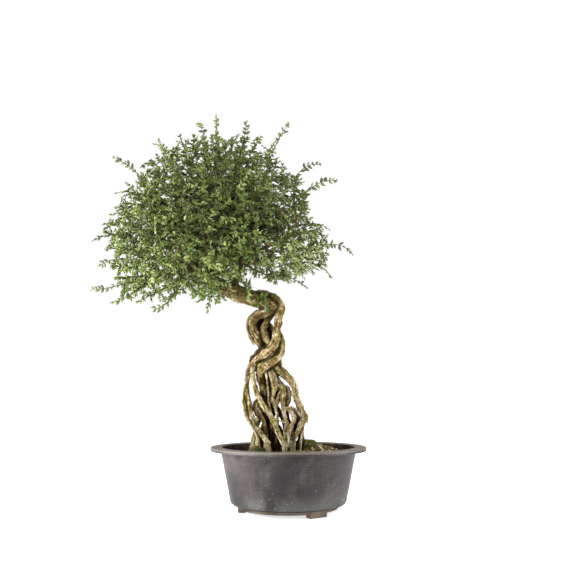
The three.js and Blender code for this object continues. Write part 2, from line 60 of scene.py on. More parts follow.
# Camera: place in millimetres from the pot's axis, upward pitch in degrees, lens and sensor in
# millimetres
CAMERA = {"at": (7, -1360, 224), "pitch": 8.87, "lens": 40.97, "sensor": 36}

# Soft boxes: place and size in millimetres from the pot's axis, power in watts
AIM = (-40, 0, 330)
SOFT_BOXES = {
    "front": {"at": (-700, -1500, 1400), "size": 700, "power": 21},
    "top": {"at": (-60, 0, 2200), "size": 1300, "power": 15},
    "left": {"at": (-1350, -420, 350), "size": 900, "power": 36},
    "right": {"at": (1350, -420, 350), "size": 900, "power": 19},
}
# The white room: its light from the front and from behind, and the headings between which it
# changes, -1 at the front and 1 behind
ROOM_LIGHT = {"front": 0.08, "behind": 0.5, "from": -0.75, "to": 0}
# Floor: its side, how much it glows near the pot and far away, and where that changes, in metres
FLOOR_SIZE = 40
FLOOR_GLOW = {"near": 0.7, "far": 1, "from": 0.2, "to": 1.2}
# The share of the floor's glow that lights the plant
FLOOR_SHARE = 0.32

# Pot, in millimetres, as in the CAD source but for the corner, which is 8 there
RIM_RADIUS = 155
RIM_TOP = 124
LIP_DEPTH = 7
LIP_THICKNESS = 2.5
LIP_ROUND = 2
FLANGE_THICKNESS = 3
WALL = 3
WALL_TOP_RADIUS = 135.5
WALL_FOOT_RADIUS = 113
BODY_BOTTOM = 13.5
FLOOR_TOP = BODY_BOTTOM + WALL
CORNER = 12
BASE_RING = {"inside": 90, "outside": 98, "bottom": 7}
FOOT = {"count": 3, "first": -55, "radius": 92, "width": 40, "depth": 15, "round": 2.5}
DRAIN = {"count": 6, "radius": 8, "circle": 62, "sides": 32}
POT_STEPS = 128
WALL_SLOPE = (WALL_TOP_RADIUS - WALL_FOOT_RADIUS) / (RIM_TOP - BODY_BOTTOM)
# The inner wall's radius if it ran on to the table, in metres
INNER_FOOT = (WALL_FOOT_RADIUS - WALL - WALL_SLOPE * BODY_BOTTOM) * MM

# Soil, as in the CAD source, and how finely its top is made
SOIL_EDGE = 102
SOIL_RINGS = 64
SOIL_STEPS = 160
HEAPS = (
    {"x": -35, "y": 0, "height": 9, "spread": 62},
    {"x": 50, "y": 0, "height": 22, "spread": 34},
    {"x": 92, "y": 12, "height": 12, "spread": 30},
    {"x": 20, "y": 45, "height": 10, "spread": 40},
)
RIPPLE = {"height": 1.5, "along_x": 17, "along_y": 13}
CRUMBS = {"count": 1700, "smallest": 1.2, "largest": 4.2}

# Dried mud on the inner wall, dark partly as painted shade
MUD_AND_SHADE = {"into_soil": 2, "below_rim": 1.6, "thick": 0.4}

# Roots and trunk: each row of a strand is x, y, z and radius
ROOT_END = 92
STRANDS = {
    "limb": [
        (-190, 6, 486, 12), (-168, 5, 468, 14), (-142, 3, 450, 16), (-100, 0, 431, 17),
        (-67, -2, 420, 16.5), (-42, -3, 411, 14), (-26, -2, 403, 10.5), (-17, -2, 398, 7),
    ],
    "elbow": [
        (-70, -2, 430, 9.5), (-53, -2, 431, 9.5), (-36, -2, 426, 9.5), (-22, -2, 415, 9.5),
        (-16, -3, 402, 9), (-20, -4, 387, 8.2), (-21.5, -6, 373, 8), (-24, -9, 358, 8),
        (-26, -13, 338, 8.8), (-33, -16, 320, 9.2), (-44, -18, 308, 8.8), (-59, -16, 300, 7.5),
        (-71, -12, 290, 6), (-79, -8, 278, 5.4), (-83, -6, 263, 5), (-85, -5, 242, 4.6),
    ],
    "hook": [
        (-17, 1, 405, 8), (-28, 0, 401, 10), (-46, -3, 393, 11), (-66, -3, 387, 10),
        (-74, -3, 376, 8.5), (-74, -3, 363, 8.5), (-67, -2, 347, 8.5), (-60, 2, 333, 8),
        (-52, 10, 318, 8), (-38, 17, 303, 8), (-24, 18, 288, 7.5),
    ],
    "hook_ridge": [
        (-60, -2, 392, 6), (-75, -1, 385, 5.5), (-83, 0, 371, 4.8), (-82, 1, 356, 4.6),
        (-77, 2, 341, 4.4), (-68, 3, 329, 4),
    ],
    "inner_loop": [
        (-34, 6, 392, 7), (-44, 3, 376, 7), (-51, 0, 360, 7), (-48, -3, 347, 7),
        (-41, -4, 333, 7.5), (-32, 0, 316, 7.5), (-22, 4, 300, 8), (-21, 2, 286, 8),
    ],
    "hook_back": [
        (-58, 12, 396, 8), (-60, 13, 378, 9), (-57, 13, 358, 9), (-50, 13, 336, 9),
        (-42, 12, 316, 9),
    ],
    "inner_back": [(-43, 12, 362, 6), (-38, 12, 350, 7), (-32, 10, 334, 8), (-30, 6, 318, 8)],
    "wrap": [
        (-46, 12, 372, 7), (-32, 14, 358, 8), (-21, 10, 344, 9), (-17.5, 2, 328, 9.5),
        (-18, -6, 313, 9.5), (-25, -11, 300, 9.5), (-39, -14, 289, 10.5), (-52, -13, 280, 11),
        (-57, -6, 266, 9.5), (-54, 5, 247, 8), (-48, 12, 224, 7.5), (-42, 13, 196, 7),
        (-34, 12, 156, 7.5), (-30, 12, ROOT_END, 9),
    ],
    "core": [
        (-36, 16, 304, 10), (-40, 17, 282, 10), (-41, 17, 256, 10), (-40, 16, 228, 9),
        (-38, 16, 200, 9), (-38, 16, 168, 8), (-38, 16, 134, 8), (-38, 16, ROOT_END, 9),
    ],
    "outer_right": [
        (-34, 0, 285, 8), (-22, -5, 274, 7), (-9, -8, 265, 6.4), (3, -9, 254, 6.4),
        (11, -9, 245, 6.4), (13, -9, 235, 6), (12, -9, 226, 6), (19, -10, 213, 6.2),
        (25, -10, 201, 6.2), (31, -11, 189, 6), (35, -11, 179, 6), (36, -11, 171, 4.6),
    ],
    "outer_right_stub": [
        (30, -11, 182, 5), (25, -14, 169, 5.2), (19, -17, 155, 5.2), (15, -19, 145, 3.8),
        (12, -20, 130, 3), (11, -20, ROOT_END, 3),
    ],
    "shoulder_left": [
        (-42, 4, 324, 8), (-56, 4, 314, 8.5), (-68, 3, 302, 8), (-75, 0, 289, 6.5),
        (-79, -4, 276, 5.4), (-80, -6, 264, 4.6),
    ],
    "outer_left": [
        (-78, -4, 280, 5), (-80, -6, 268, 4.6), (-85, -7, 248, 4.6), (-88, -9, 225, 4.6),
        (-88, -11, 204, 4.6), (-85, -12, 188, 4.4), (-77, -13, 173, 4.2), (-68, -14, 158, 4.4),
        (-61, -14, 145, 4.8), (-60, -14, 132, 6.5), (-61, -14, 116, 8.6), (-62, -14, ROOT_END, 9.5),
    ],
    "dark_foot_left": [
        (-42, 13, 208, 5), (-48, 9, 189, 6.5), (-49, 8, 168, 6), (-53, 6, 154, 6), (-58, 4, 140, 8),
        (-60, 2, 124, 9), (-60, 0, ROOT_END, 11),
    ],
    "inner_left": [
        (-84, -6, 244, 4.6), (-82, -9, 225, 4.6), (-78, -13, 205, 4.8), (-75, -16, 190, 5),
        (-67, -19, 172, 5), (-57, -22, 154, 5), (-48, -24, 143, 5.4), (-41, -26, 131, 6.5),
        (-37, -26, ROOT_END, 7.5),
    ],
    "long_diagonal": [
        (-66, -14, 288, 5), (-72, -14, 277, 5), (-72, -17, 262, 5), (-66, -21, 238, 5),
        (-58, -24, 219, 5.2), (-48, -27, 202, 5.2), (-38, -29, 189, 5), (-30, -31, 176, 5),
        (-23, -32, 159, 5), (-17, -33, 145, 5.2), (-9, -34, 131, 5.6), (-2, -34, ROOT_END, 6),
    ],
    "centre": [
        (-38, -8, 280, 6), (-33, -12, 266, 7), (-30, -13, 254, 8), (-28, -13, 241, 7),
        (-31, -12, 229, 5.4), (-32, -12, 214, 4.6), (-26, -11, 200, 3.6), (-22, -8, 180, 3.4),
        (-24, -6, 150, 3.6), (-22, -6, ROOT_END, 4),
    ],
    "centre_branch": [
        (-13, -9, 238, 4), (-17, -10, 229, 4), (-21, -11, 216, 4), (-24, -11, 202, 3.4),
    ],
    "loop_left": [
        (-26, -4, 262, 5), (-17, -8, 250, 5), (-11, -11, 238, 4.8), (-11, -13, 216, 4.6),
        (-10, -15, 194, 4.6), (-7, -17, 181, 4.4), (-4, -18, 168, 4.2), (-6, -18, 150, 4),
        (-9, -18, ROOT_END, 4.2),
    ],
    "loop_right": [
        (-12, -6, 242, 4), (-4, -3, 240, 5), (0, -3, 229, 5.5), (-1, -3, 213, 5.2),
        (-4, -3, 203, 4), (-1, -3, 180, 4), (4, -2, 150, 4.4), (6, 0, ROOT_END, 5),
    ],
    "pale_arc": [
        (-6, -15, 196, 3), (2, -15, 201, 3), (11, -15, 199, 3), (19, -13, 190, 3.2),
        (27, -12, 181, 3.4),
    ],
    "dark_loop": [
        (4, -8, 197, 3.6), (13, -8, 191, 3.8), (18, -8, 181, 4.2), (16, -8, 168, 4.6),
        (11, -8, 154, 4.4), (11, -8, 136, 4.4), (13, -8, ROOT_END, 5),
    ],
    "dark_right": [(27, -6, 166, 4), (24, -6, 148, 4.6), (21, -6, 128, 5), (20, -6, ROOT_END, 6)],
    "pale_root": [
        (0, -14, 198, 3.4), (8, -17, 188, 4.6), (11, -18, 177, 4.8), (6, -20, 165, 4),
        (1, -22, 154, 3.6), (0, -23, 141, 3.4), (-4, -25, ROOT_END, 3.6),
    ],
    "cross_root": [
        (-32, -26, 182, 2.4), (-20, -23, 176, 2.2), (-8, -21, 171, 2.2), (3, -20, 163, 2.4),
    ],
    "thin_right": [
        (31, -12, 172, 2.8), (28, -14, 156, 2.8), (25, -17, 138, 2.8), (21, -20, ROOT_END, 3),
    ],
    "thin_middle": [
        (7, -16, 168, 2.6), (8, -19, 150, 2.4), (6, -22, 132, 2.6), (7, -23, ROOT_END, 3),
    ],
    "thin_pale": [
        (-46, -15, 272, 2.6), (-43, -18, 254, 2.2), (-41, -19, 234, 2.2), (-40, -17, 214, 2.2),
        (-36, -10, 196, 2.4), (-33, -2, 180, 2.6),
    ],
    "left_knob": [
        (-54, 8, 236, 4.5), (-61, 2, 216, 5.5), (-66, -3, 199, 8), (-59, -8, 187, 7),
        (-50, -12, 174, 4.2), (-46, -14, 160, 4.2), (-44, -16, 146, 4.4), (-46, -16, ROOT_END, 5.5),
    ],
    "dark_middle": [(-30, 12, 196, 6), (-20, 10, 188, 6.5), (-6, 8, 183, 5)],
    "dark_foot_middle": [
        (-30, 12, 168, 6), (-19, 8, 158, 6), (-14, 4, 142, 7.5), (-12, 2, 122, 9),
        (-10, 2, ROOT_END, 10),
    ],
    "surface_root": [
        (24, 4, 112, 6), (33, 0, 132, 5.4), (45, -5, 134, 4.2), (56, -10, 128, 3.4),
        (64, -15, 121, 3.2), (72, -20, 113, 3), (80, -24, ROOT_END, 3),
    ],
    "surface_root_small": [
        (26, -6, 114, 3.4), (36, -9, 129, 3.2), (43, -14, 128, 3), (48, -20, 119, 2.8),
        (52, -26, ROOT_END, 3),
    ],
    "back_left": [
        (-46, 14, 284, 7), (-50, 24, 255, 6.5), (-54, 28, 226, 6), (-58, 32, 190, 5.6),
        (-68, 36, 150, 6), (-78, 38, ROOT_END, 8),
    ],
    "back_middle": [
        (-34, 17, 296, 8), (-40, 27, 266, 7), (-30, 34, 232, 6.4), (-34, 38, 190, 6),
        (-44, 44, 150, 6.4), (-48, 50, ROOT_END, 8),
    ],
    "back_right": [
        (-24, 16, 292, 8), (-29, 22, 268, 7), (-28, 28, 246, 6.4), (-12, 30, 224, 6),
        (-8, 30, 190, 5.5), (-4, 32, 158, 6), (10, 36, 128, 7), (18, 40, ROOT_END, 8),
    ],
    "back_outer": [
        (-22, 10, 284, 7), (-6, 8, 269, 6), (6, 6, 255, 6), (14, 4, 236, 5.5), (15, 4, 216, 5.5),
        (24, 6, 192, 5), (26, 8, 154, 5), (32, 12, ROOT_END, 7),
    ],
    "back_cross": [
        (-56, 24, 252, 5), (-44, 34, 226, 5), (-24, 38, 200, 5), (-8, 34, 166, 5),
        (-8, 30, 134, 5.5), (-14, 28, ROOT_END, 6.5),
    ],
}

# Strands that are pale and clean, a little lighter or browner than the rest, and painted dark as
# shade
PALE_STRANDS = ("pale_arc", "pale_root", "thin_pale", "thin_right", "cross_root")
LIGHT_STRANDS = (
    "outer_right", "outer_right_stub", "long_diagonal", "inner_left", "outer_left", "thin_middle",
    "centre", "loop_left",
)
EARTHY_STRANDS = ("hook", "hook_ridge", "inner_loop", "left_knob")
SHADED_STRANDS = (
    "core", "hook_back", "inner_back", "shoulder_left", "dark_foot_left", "dark_middle",
    "dark_foot_middle", "back_middle", "dark_loop", "dark_right",
)

# Main branches, as strands
BRANCHES = {
    "top": [
        (-156, 4, 462, 10), (-176, 8, 520, 8.5), (-166, 4, 592, 6.6), (-152, 0, 660, 4.8),
        (-148, 0, 716, 3),
    ],
    "left": [
        (-168, 5, 470, 10), (-206, 6, 488, 9), (-250, 0, 502, 7), (-300, -4, 512, 5),
        (-340, -4, 518, 3),
    ],
    "left_low": [
        (-196, 5, 484, 7), (-236, -28, 470, 5.6), (-284, -40, 462, 4.2), (-322, -46, 458, 2.8),
    ],
    "left_up": [(-190, 6, 486, 8), (-226, 20, 540, 6.6), (-262, 26, 600, 5), (-286, 28, 646, 3)],
    "right": [
        (-112, 1, 440, 9), (-98, 6, 488, 8), (-54, 4, 528, 6.4), (2, 0, 552, 4.6),
        (48, -2, 566, 2.8),
    ],
    "right_low": [(-92, 5, 494, 6), (-42, -20, 502, 5), (14, -28, 504, 3.8), (52, -30, 498, 2.6)],
    "right_up": [(-100, 6, 482, 7), (-98, -8, 550, 6), (-66, -12, 622, 4.6), (-36, -10, 676, 2.8)],
    "front": [
        (-152, 2, 460, 8), (-160, -50, 500, 6.4), (-166, -98, 536, 4.6), (-168, -136, 560, 2.8),
    ],
    "front_left": [(-188, 5, 486, 7), (-222, -56, 520, 5.2), (-252, -104, 548, 2.8)],
    "front_right": [(-99, 4, 486, 7), (-82, -56, 528, 5.2), (-62, -102, 556, 2.8)],
    "back": [(-152, 4, 460, 8), (-152, 56, 508, 6.4), (-146, 104, 546, 4.6), (-142, 140, 572, 2.8)],
    "back_left": [(-188, 7, 486, 7), (-224, 66, 520, 5.2), (-254, 112, 552, 2.8)],
    "back_right": [(-99, 8, 486, 7), (-78, 64, 528, 5.2), (-54, 108, 558, 2.8)],
}

# Wood: how finely it is made, and its swellings and lengthwise ridges. Ridges are lower on thin
# strands. Creases get painted shade, and knobs get less of it than the hollows between them.
SPAN_POINTS = 10
STRAND_SIDES = 20
STRAND_STEP = 2.2
VOXEL = 1.6
SWELLING = {"lobes": 0.07, "lumps": 0.09, "lump_length": 16, "twist": 26}
RIDGES = {"height": 1.3, "width": 4.5, "stretch": 0.12, "full_at": 8, "least": 0.25}
KNOBS = {"height": 1.7, "width": 11, "bare": 0.25}
CREASE = {"rounds": 30, "depth": 1.5}
SMOOTHING = {"places": 2, "tone": 4, "occlusion_shade": 3}
# Rays that find how much nearby wood hides each point, for painted shade
OCCLUSION_RAYS = {"rays": 22, "start": 0.8, "reach": 45, "grazing": 0.15, "strength": 0.85}
# Bark: between which heights, in metres, it gets paler, grey as on the limb, and green
BARK_HEIGHTS = {"paler_low": (0.22, 0.13), "grey": (0.385, 0.44), "green": (0.14, 0.105)}
BRANCH_SIDES = {"thick": 12, "thin": 7}
THICK_BRANCH = 4
BRANCH_STEP = 5
BRANCH_TIP = {"reach": 2.5, "radius": 0.7}
SIDE_BRANCH = {"base": 3.6, "points": 12, "shortest": 4}
# Thickness of the crown's wood against the CAD source
CROWN_WOOD = 0.62

# Crown: its heart, its half depth, and the reach of its dense part every 15 degrees, anticlockwise
# from the right in the front view
CROWN = {"heart": (-145, 0, 545), "deep": 196}
CROWN_REACH = (
    238, 200, 228, 210, 222, 230, 226, 230, 226, 230, 226, 230,
    246, 230, 240, 184, 134, 126, 134, 108, 94, 84, 178, 234,
)
TWIG_TIPS = {
    "tries": 70000, "count": 3150, "apart": 12.8, "innermost": 0.26, "outermost": 0.98,
}
# Thin places in the crown: x, z, half size and the share of twigs left out
THIN_PLACES = (
    {"x": -32, "z": 520, "reach": 34, "share": 0.75},
    {"x": 30, "z": 490, "reach": 60, "share": 0.2},
    {"x": -250, "z": 432, "reach": 60, "share": 0.4},
)
# Places with withered leaves, as x, z and half size, and the share of leaves in their middle
WITHERED_SHARE = 0.3
WITHERED_PLACES = (
    {"x": -210, "z": 484, "reach": 12},
    {"x": -172, "z": 448, "reach": 12},
    {"x": -196, "z": 592, "reach": 10},
    {"x": 4, "z": 572, "reach": 26},
    {"x": -40, "z": 512, "reach": 12},
)
# How far light and dark stretches of the crown, and single twigs, differ in brightness
GLADES = {"size": 110, "strength": 0.3, "twigs": 0.15}
# Twigs: radii, sides, the step between points, and how their tips rise, less so away from the
# crown's middle, or droop
TWIG = {
    "base": 0.95, "tip": 0.4, "sides": 4, "step": 17, "shortest": 14, "long": 90, "wobble": 0.22,
    "lift": 0.35, "aside": 0.45, "droop": -0.4,
}
# How much a twig's start is chosen for little turning rather than for nearness
TURNING_COST = 0.9
# Stems of the shoots, and their leaves
SHOOT = {
    "base": 1.5, "tip": 0.6, "points": 10, "sides": 6, "bend": 0.2, "arch": 0.35,
    "arch_aside": 0.5, "sag": -0.25, "bare": 0.1, "size": 1, "fresh": 0.6, "light": (0.35, 0.7),
}
# Twigs with their tips below this height, in metres, hang down a little
DROOP_BELOW = 0.5
# The first shoots draw the crown's outline
OUTLINE_SHOOTS = 24
# Behind this depth and above this height, in metres, the leaves are somewhat larger
BACK_LEAVES = {"behind": 0, "above": 0.54, "size": 1.4}
# Below this height most twigs have larger leaves
LOW_LEAVES = {"below": 0.49, "share": 0.6, "size": 1.35}
# The step in which a twig's headings are worked out, in millimetres
LEAFY_STEP = 2
# Pairs of leaves: spacing and stagger along a twig in millimetres, the angle away from it in
# degrees, how far back from its tip leaves are young, how much closer and less spread they then
# are, and the shares of the twig left bare and of leaves left out
LEAF_PAIR = {
    "spacing": 9.8, "stagger": 1.6, "spread": 60, "young_reach": 10, "closer": 0.4, "less": 22,
    "bare": 0.12, "missing": 0.06,
}
# Leaves: lengths in millimetres, and the rest as shares of the length. Young ones are shorter, and
# those well inside the crown longer.
LEAF_SIZE = {
    "shortest": 9.8, "longest": 14.5, "width": 0.52, "thick": 0.05, "fold": 0.16, "droop": 0.16,
    "usual": (0.85, 1.1), "young": 0.45, "inside": 1.3,
}
# Shares of the crown's reach: a twig's tip below the first lies well inside, and the leaves of one
# above the second are fresher
INSIDE = 0.75
OUTSIDE = 0.55
# How light leaves are, 0 to 1, and what is added: painted shade inside the crown and high up,
# and painted light low down and low down at the right, between these heights and distances from
# the pot's axis, in metres
LEAF_SHADE_AND_TINT = {
    "usual": 0.455, "spread": 0.25, "inside": -1.3, "low": 0.44, "low_right": 0.24, "high": -0.07,
    "heights": ((0.57, 0.46), (0.61, 0.53), (0.58, 0.66)), "right": (-0.08, 0),
}
# Leaves on the limb and the elbow: foot and tip
SPRIG = {"base": 0.9, "tip": 0.5, "points": 7, "sides": 5, "bare": 0.1, "size": 1.75, "fresh": 0.35}
SPRIGS = (
    {"at": (-87, -13, 437), "to": (-86, -26, 452)},
    {"at": (-84, -13, 430), "to": (-78, -28, 434)},
    {"at": (-54, -13, 420), "to": (-50, -26, 424)},
    {"at": (-58, -12, 414), "to": (-62, -25, 408)},
    {"at": (-50, -13, 408), "to": (-44, -25, 402)},
)

# Moss: cushions as in the CAD source, but with moss_left moved a little, and the green film
# over the heap
MOSS = {
    "moss_left": {"at": (-64, -34, 112), "size": (17, 14, 16), "tufts": 1000},
    "moss_front": {"at": (14, -44, 110), "size": (22, 10, 9), "tufts": 900},
    "moss_right": {"at": (46, -6, 124), "size": (13, 15, 14), "tufts": 900},
}
MOSS_FILM = {"count": 2600, "height": 2.6}
# How far the cushions bulge, as a share of their size
BULGE = 0.09


class Value:
    """A number's socket that takes part in Python's sums."""

    def __init__(self, shader, socket):
        self.shader = shader
        self.socket = socket

    def __add__(self, other):
        return self.shader.sum_of("ADD", self, other)

    def __sub__(self, other):
        return self.shader.sum_of("SUBTRACT", self, other)

    def __mul__(self, other):
        return self.shader.sum_of("MULTIPLY", self, other)


class Shader:
    """The nodes of a material or of the world, and the few ways in which they are made."""

    def __init__(self, owner):
        self.owner = owner
        owner.use_nodes = True
        self.tree = owner.node_tree
        self.tree.nodes.clear()

    def node(self, kind, settings=None, inputs=None, output=0):
        """A new node of that kind, with its settings and then its sockets."""
        made = self.tree.nodes.new("ShaderNode" + kind)
        for name, value in (settings or {}).items():
            setattr(made, name, value)
        for name, value in (inputs or {}).items():
            if isinstance(value, Value):
                self.tree.links.new(value.socket, made.inputs[name])
            else:
                made.inputs[name].default_value = value
        return Value(self, made.outputs[output]) if made.outputs else None

    def sum_of(self, operation, a, b):
        return self.node("Math", {"operation": operation}, {0: a, 1: b})

    def place(self):
        return self.node("TexCoord", output="Object")

    def from_axis(self):
        """The place, measured from the foot of the pot's axis."""
        return self.node("Mapping", inputs={"Vector": self.place(), "Location": -AXIS})

    def attribute(self, name, output="Fac"):
        return self.node("Attribute", {"attribute_name": name}, output=output)

    def parts(self, vector):
        """The three numbers of a vector."""
        split = self.node("SeparateXYZ", inputs={0: vector})
        return [Value(self, socket) for socket in split.socket.node.outputs]

    def joined(self, x, y, z):
        return self.node("CombineXYZ", inputs={0: x, 1: y, 2: z})

    def scaled(self, vector, by):
        return self.node("VectorMath", {"operation": "MULTIPLY"}, {0: vector, 1: by})

    def length(self, vector):
        return self.node("VectorMath", {"operation": "LENGTH"}, {0: vector}, output=1)

    def noise(self, vector, scale, detail=3.0, roughness=0.6, distortion=0.0):
        names = ("Vector", "Scale", "Detail", "Roughness", "Distortion")
        values = (vector, scale, detail, roughness, distortion)
        return self.node("TexNoise", inputs=dict(zip(names, values)))

    def step(self, value, low, high, to_low=0.0, to_high=1.0):
        """A smooth step of the value from low to high."""
        inputs = {0: value, 1: low, 2: high, 3: to_low, 4: to_high}
        return self.node("MapRange", {"interpolation_type": "SMOOTHSTEP"}, inputs)

    def spots(self, vector, scale, low, high, detail=3.0, roughness=0.6):
        """Soft-edged spots: where a noise rises from low to high."""
        return self.step(self.noise(vector, scale, detail, roughness), low, high)

    def mix(self, share, under, over, blend="MIX"):
        """Two colours mixed. A tuple is a colour as on a screen."""
        under, over = [paint(*c) if isinstance(c, tuple) else c for c in (under, over)]
        settings = {"data_type": "RGBA", "blend_type": blend}
        return self.node("Mix", settings, {0: share, 6: under, 7: over}, output=2)

    def ramp(self, value, *stops):
        """A colour that follows the value. Each stop is a value and a colour as on a screen."""
        colour = self.node("ValToRGB", inputs={0: value})
        elements = colour.socket.node.color_ramp.elements
        while len(elements) < len(stops):
            elements.new(1)
        for element, (position, *shade) in zip(elements, stops):
            element.position = position
            element.color = paint(*shade)
        return colour

    def layered(self, colour, layers):
        """The colour under layers of others, each with the share that it covers."""
        for share, over in layers:
            colour = self.mix(share, colour, over)
        return colour

    def bump(self, height, distance, strength=1.0):
        inputs = {"Height": height, "Distance": distance, "Strength": strength}
        return self.node("Bump", inputs=inputs)

    def finish(self, kind, target, **inputs):
        """The owner's surface. Words in a socket's name are joined by underscores here."""
        named = {name.replace("_", " "): value for name, value in inputs.items()}
        self.node(target, inputs={"Surface": self.node(kind, inputs=named)})
        return self.owner

    def surface(self, colour, roughness, shine, **more):
        """The finished material."""
        more.update(Base_Color=colour, Roughness=roughness, Specular_IOR_Level=shine)
        return self.finish("BsdfPrincipled", "OutputMaterial", **more)


def paint(*screen):
    """A colour from its values on a screen, 0 to 255."""
    shares = [value / 255 for value in screen]
    return (*[s / 12.92 if s < 0.04045 else ((s + 0.055) / 1.055) ** 2.4 for s in shares], 1)


def material(name):
    return Shader(bpy.data.materials.new(name))


def bark_material():
    """Ridged bark: tan and brown streaks along the grain, olive algae, painted shade in hollows."""
    s = material("bark")
    place = s.place()
    grain = s.attribute("grain", "Vector")
    height = s.parts(place)[2]
    tone = s.attribute("tone")
    streaks = s.noise(s.scaled(grain, (1, 1, 0.16)), 330, 5, 0.7, 0.5)
    bands = s.noise(s.scaled(grain, (1, 1, 0.4)), 130)
    mottle = s.noise(place, 300, 4, 0.7)
    mixed = streaks * 0.48 + bands * 0.22 + mottle * 0.3
    root_tan = s.ramp(
        mixed,
        (0.41, 56, 36, 10), (0.475, 130, 102, 58), (0.53, 198, 176, 130), (0.585, 255, 246, 220),
    )
    limb_grey = s.ramp(
        mixed,
        (0.41, 50, 42, 22), (0.47, 106, 96, 62), (0.53, 158, 148, 104), (0.6, 220, 210, 174),
    )
    pale_root = s.ramp(
        mixed,
        (0.41, 84, 64, 36), (0.46, 146, 124, 84), (0.51, 208, 192, 150), (0.565, 255, 250, 228),
    )
    pale = s.step(tone + s.step(height, *BARK_HEIGHTS["paler_low"]) * 0.25, 0.5, 0.95)
    wood = s.mix(pale, root_tan, pale_root)
    wood = s.mix(s.step(height, *BARK_HEIGHTS["grey"]), wood, limb_grey)
    specks = s.noise(place, 70, 4, 0.65)
    algae = s.spots(place, 24, 0.36, 0.56) * s.step(specks, 0.38, 0.56)
    wood = s.mix(algae * s.step(tone, 1.0, 0.7), wood, (196, 204, 142), "MULTIPLY")
    rosy = s.spots(place, 34, 0.52, 0.66)
    wood = s.mix(rosy * 0.4, wood, (206, 156, 118), "MULTIPLY")
    damp = s.spots(place, 55, 0.5, 0.62)
    green = s.step(height, *BARK_HEIGHTS["green"]) * s.step(specks, 0.45, 0.62)
    cracks = s.noise(s.scaled(grain, (1, 1, 0.25)), 560, 3, 0.7)
    layers = (
        (damp * 0.45, (84, 60, 30)),
        # painted shade on the strands behind the others
        (s.step(tone, 0.45, 0.05) * 0.75, (48, 34, 19)),
        (green * 0.5, (112, 112, 46)),
        (s.step(cracks, 0.56, 0.68) * 0.55, (46, 31, 12)),
        # painted shade in creases, less on knobs
        (s.step(s.attribute("crease_shade"), -0.8, 0.45) * 0.88, (38, 20, 2)),
        # painted shade where nearby wood hides the bark
        (s.step(s.attribute("occlusion_shade"), 0.42, 0.88) * 0.95, (31, 15, 1)),
    )
    wood = s.layered(wood, layers)
    normal = s.bump(streaks * 0.7 + cracks * -0.6 + mottle * 0.8, 0.004)
    return s.surface(wood, s.step(streaks, 0.3, 0.7, 0.7, 0.92), 0.1, Normal=normal)


def twig_material():
    """Thin crown wood: red-brown to grey, with a fine grain."""
    s = material("twig_bark")
    streaks = s.noise(s.scaled(s.attribute("grain", "Vector"), (1, 1, 0.15)), 600, 4)
    wood = s.ramp(streaks, (0.36, 46, 40, 22), (0.5, 80, 76, 42), (0.64, 122, 120, 76))
    reddish = s.spots(s.place(), 30, 0.45, 0.65, roughness=0.55)
    wood = s.mix(reddish * 0.6, wood, (66, 52, 30))
    return s.surface(wood, 0.82, 0.3, Normal=s.bump(streaks, 0.0008, 0.6))


def leaf_material():
    """Leaves: leathery green with a paler midrib and underside, fresher at the tips."""
    s = material("leaf")
    along, across, under = s.parts(s.attribute("blade", "Vector"))
    shade, age, withered = s.parts(s.attribute("shade_and_tint", "Vector"))
    green = s.ramp(
        shade, (0, 22, 32, 3), (0.3, 52, 70, 15), (0.62, 96, 116, 48), (1, 170, 182, 120)
    )
    green = s.mix(age * 0.7, green, (140, 158, 66))
    cool = s.spots(s.place(), 11, 0.46, 0.6, 2, 0.55)
    green = s.mix(cool * 0.35, green, (206, 226, 232), "MULTIPLY")
    midrib = s.step(across, 0.3, 0)
    layers = (
        (midrib * 0.25, (150, 162, 104)),
        (s.step(along, 0.75, 1) * 0.2, (150, 150, 84)),
        (under * 0.45, (128, 144, 100)),
        (withered, (108, 86, 58)),
    )
    return s.surface(s.layered(green, layers), 0.5, 0.22)


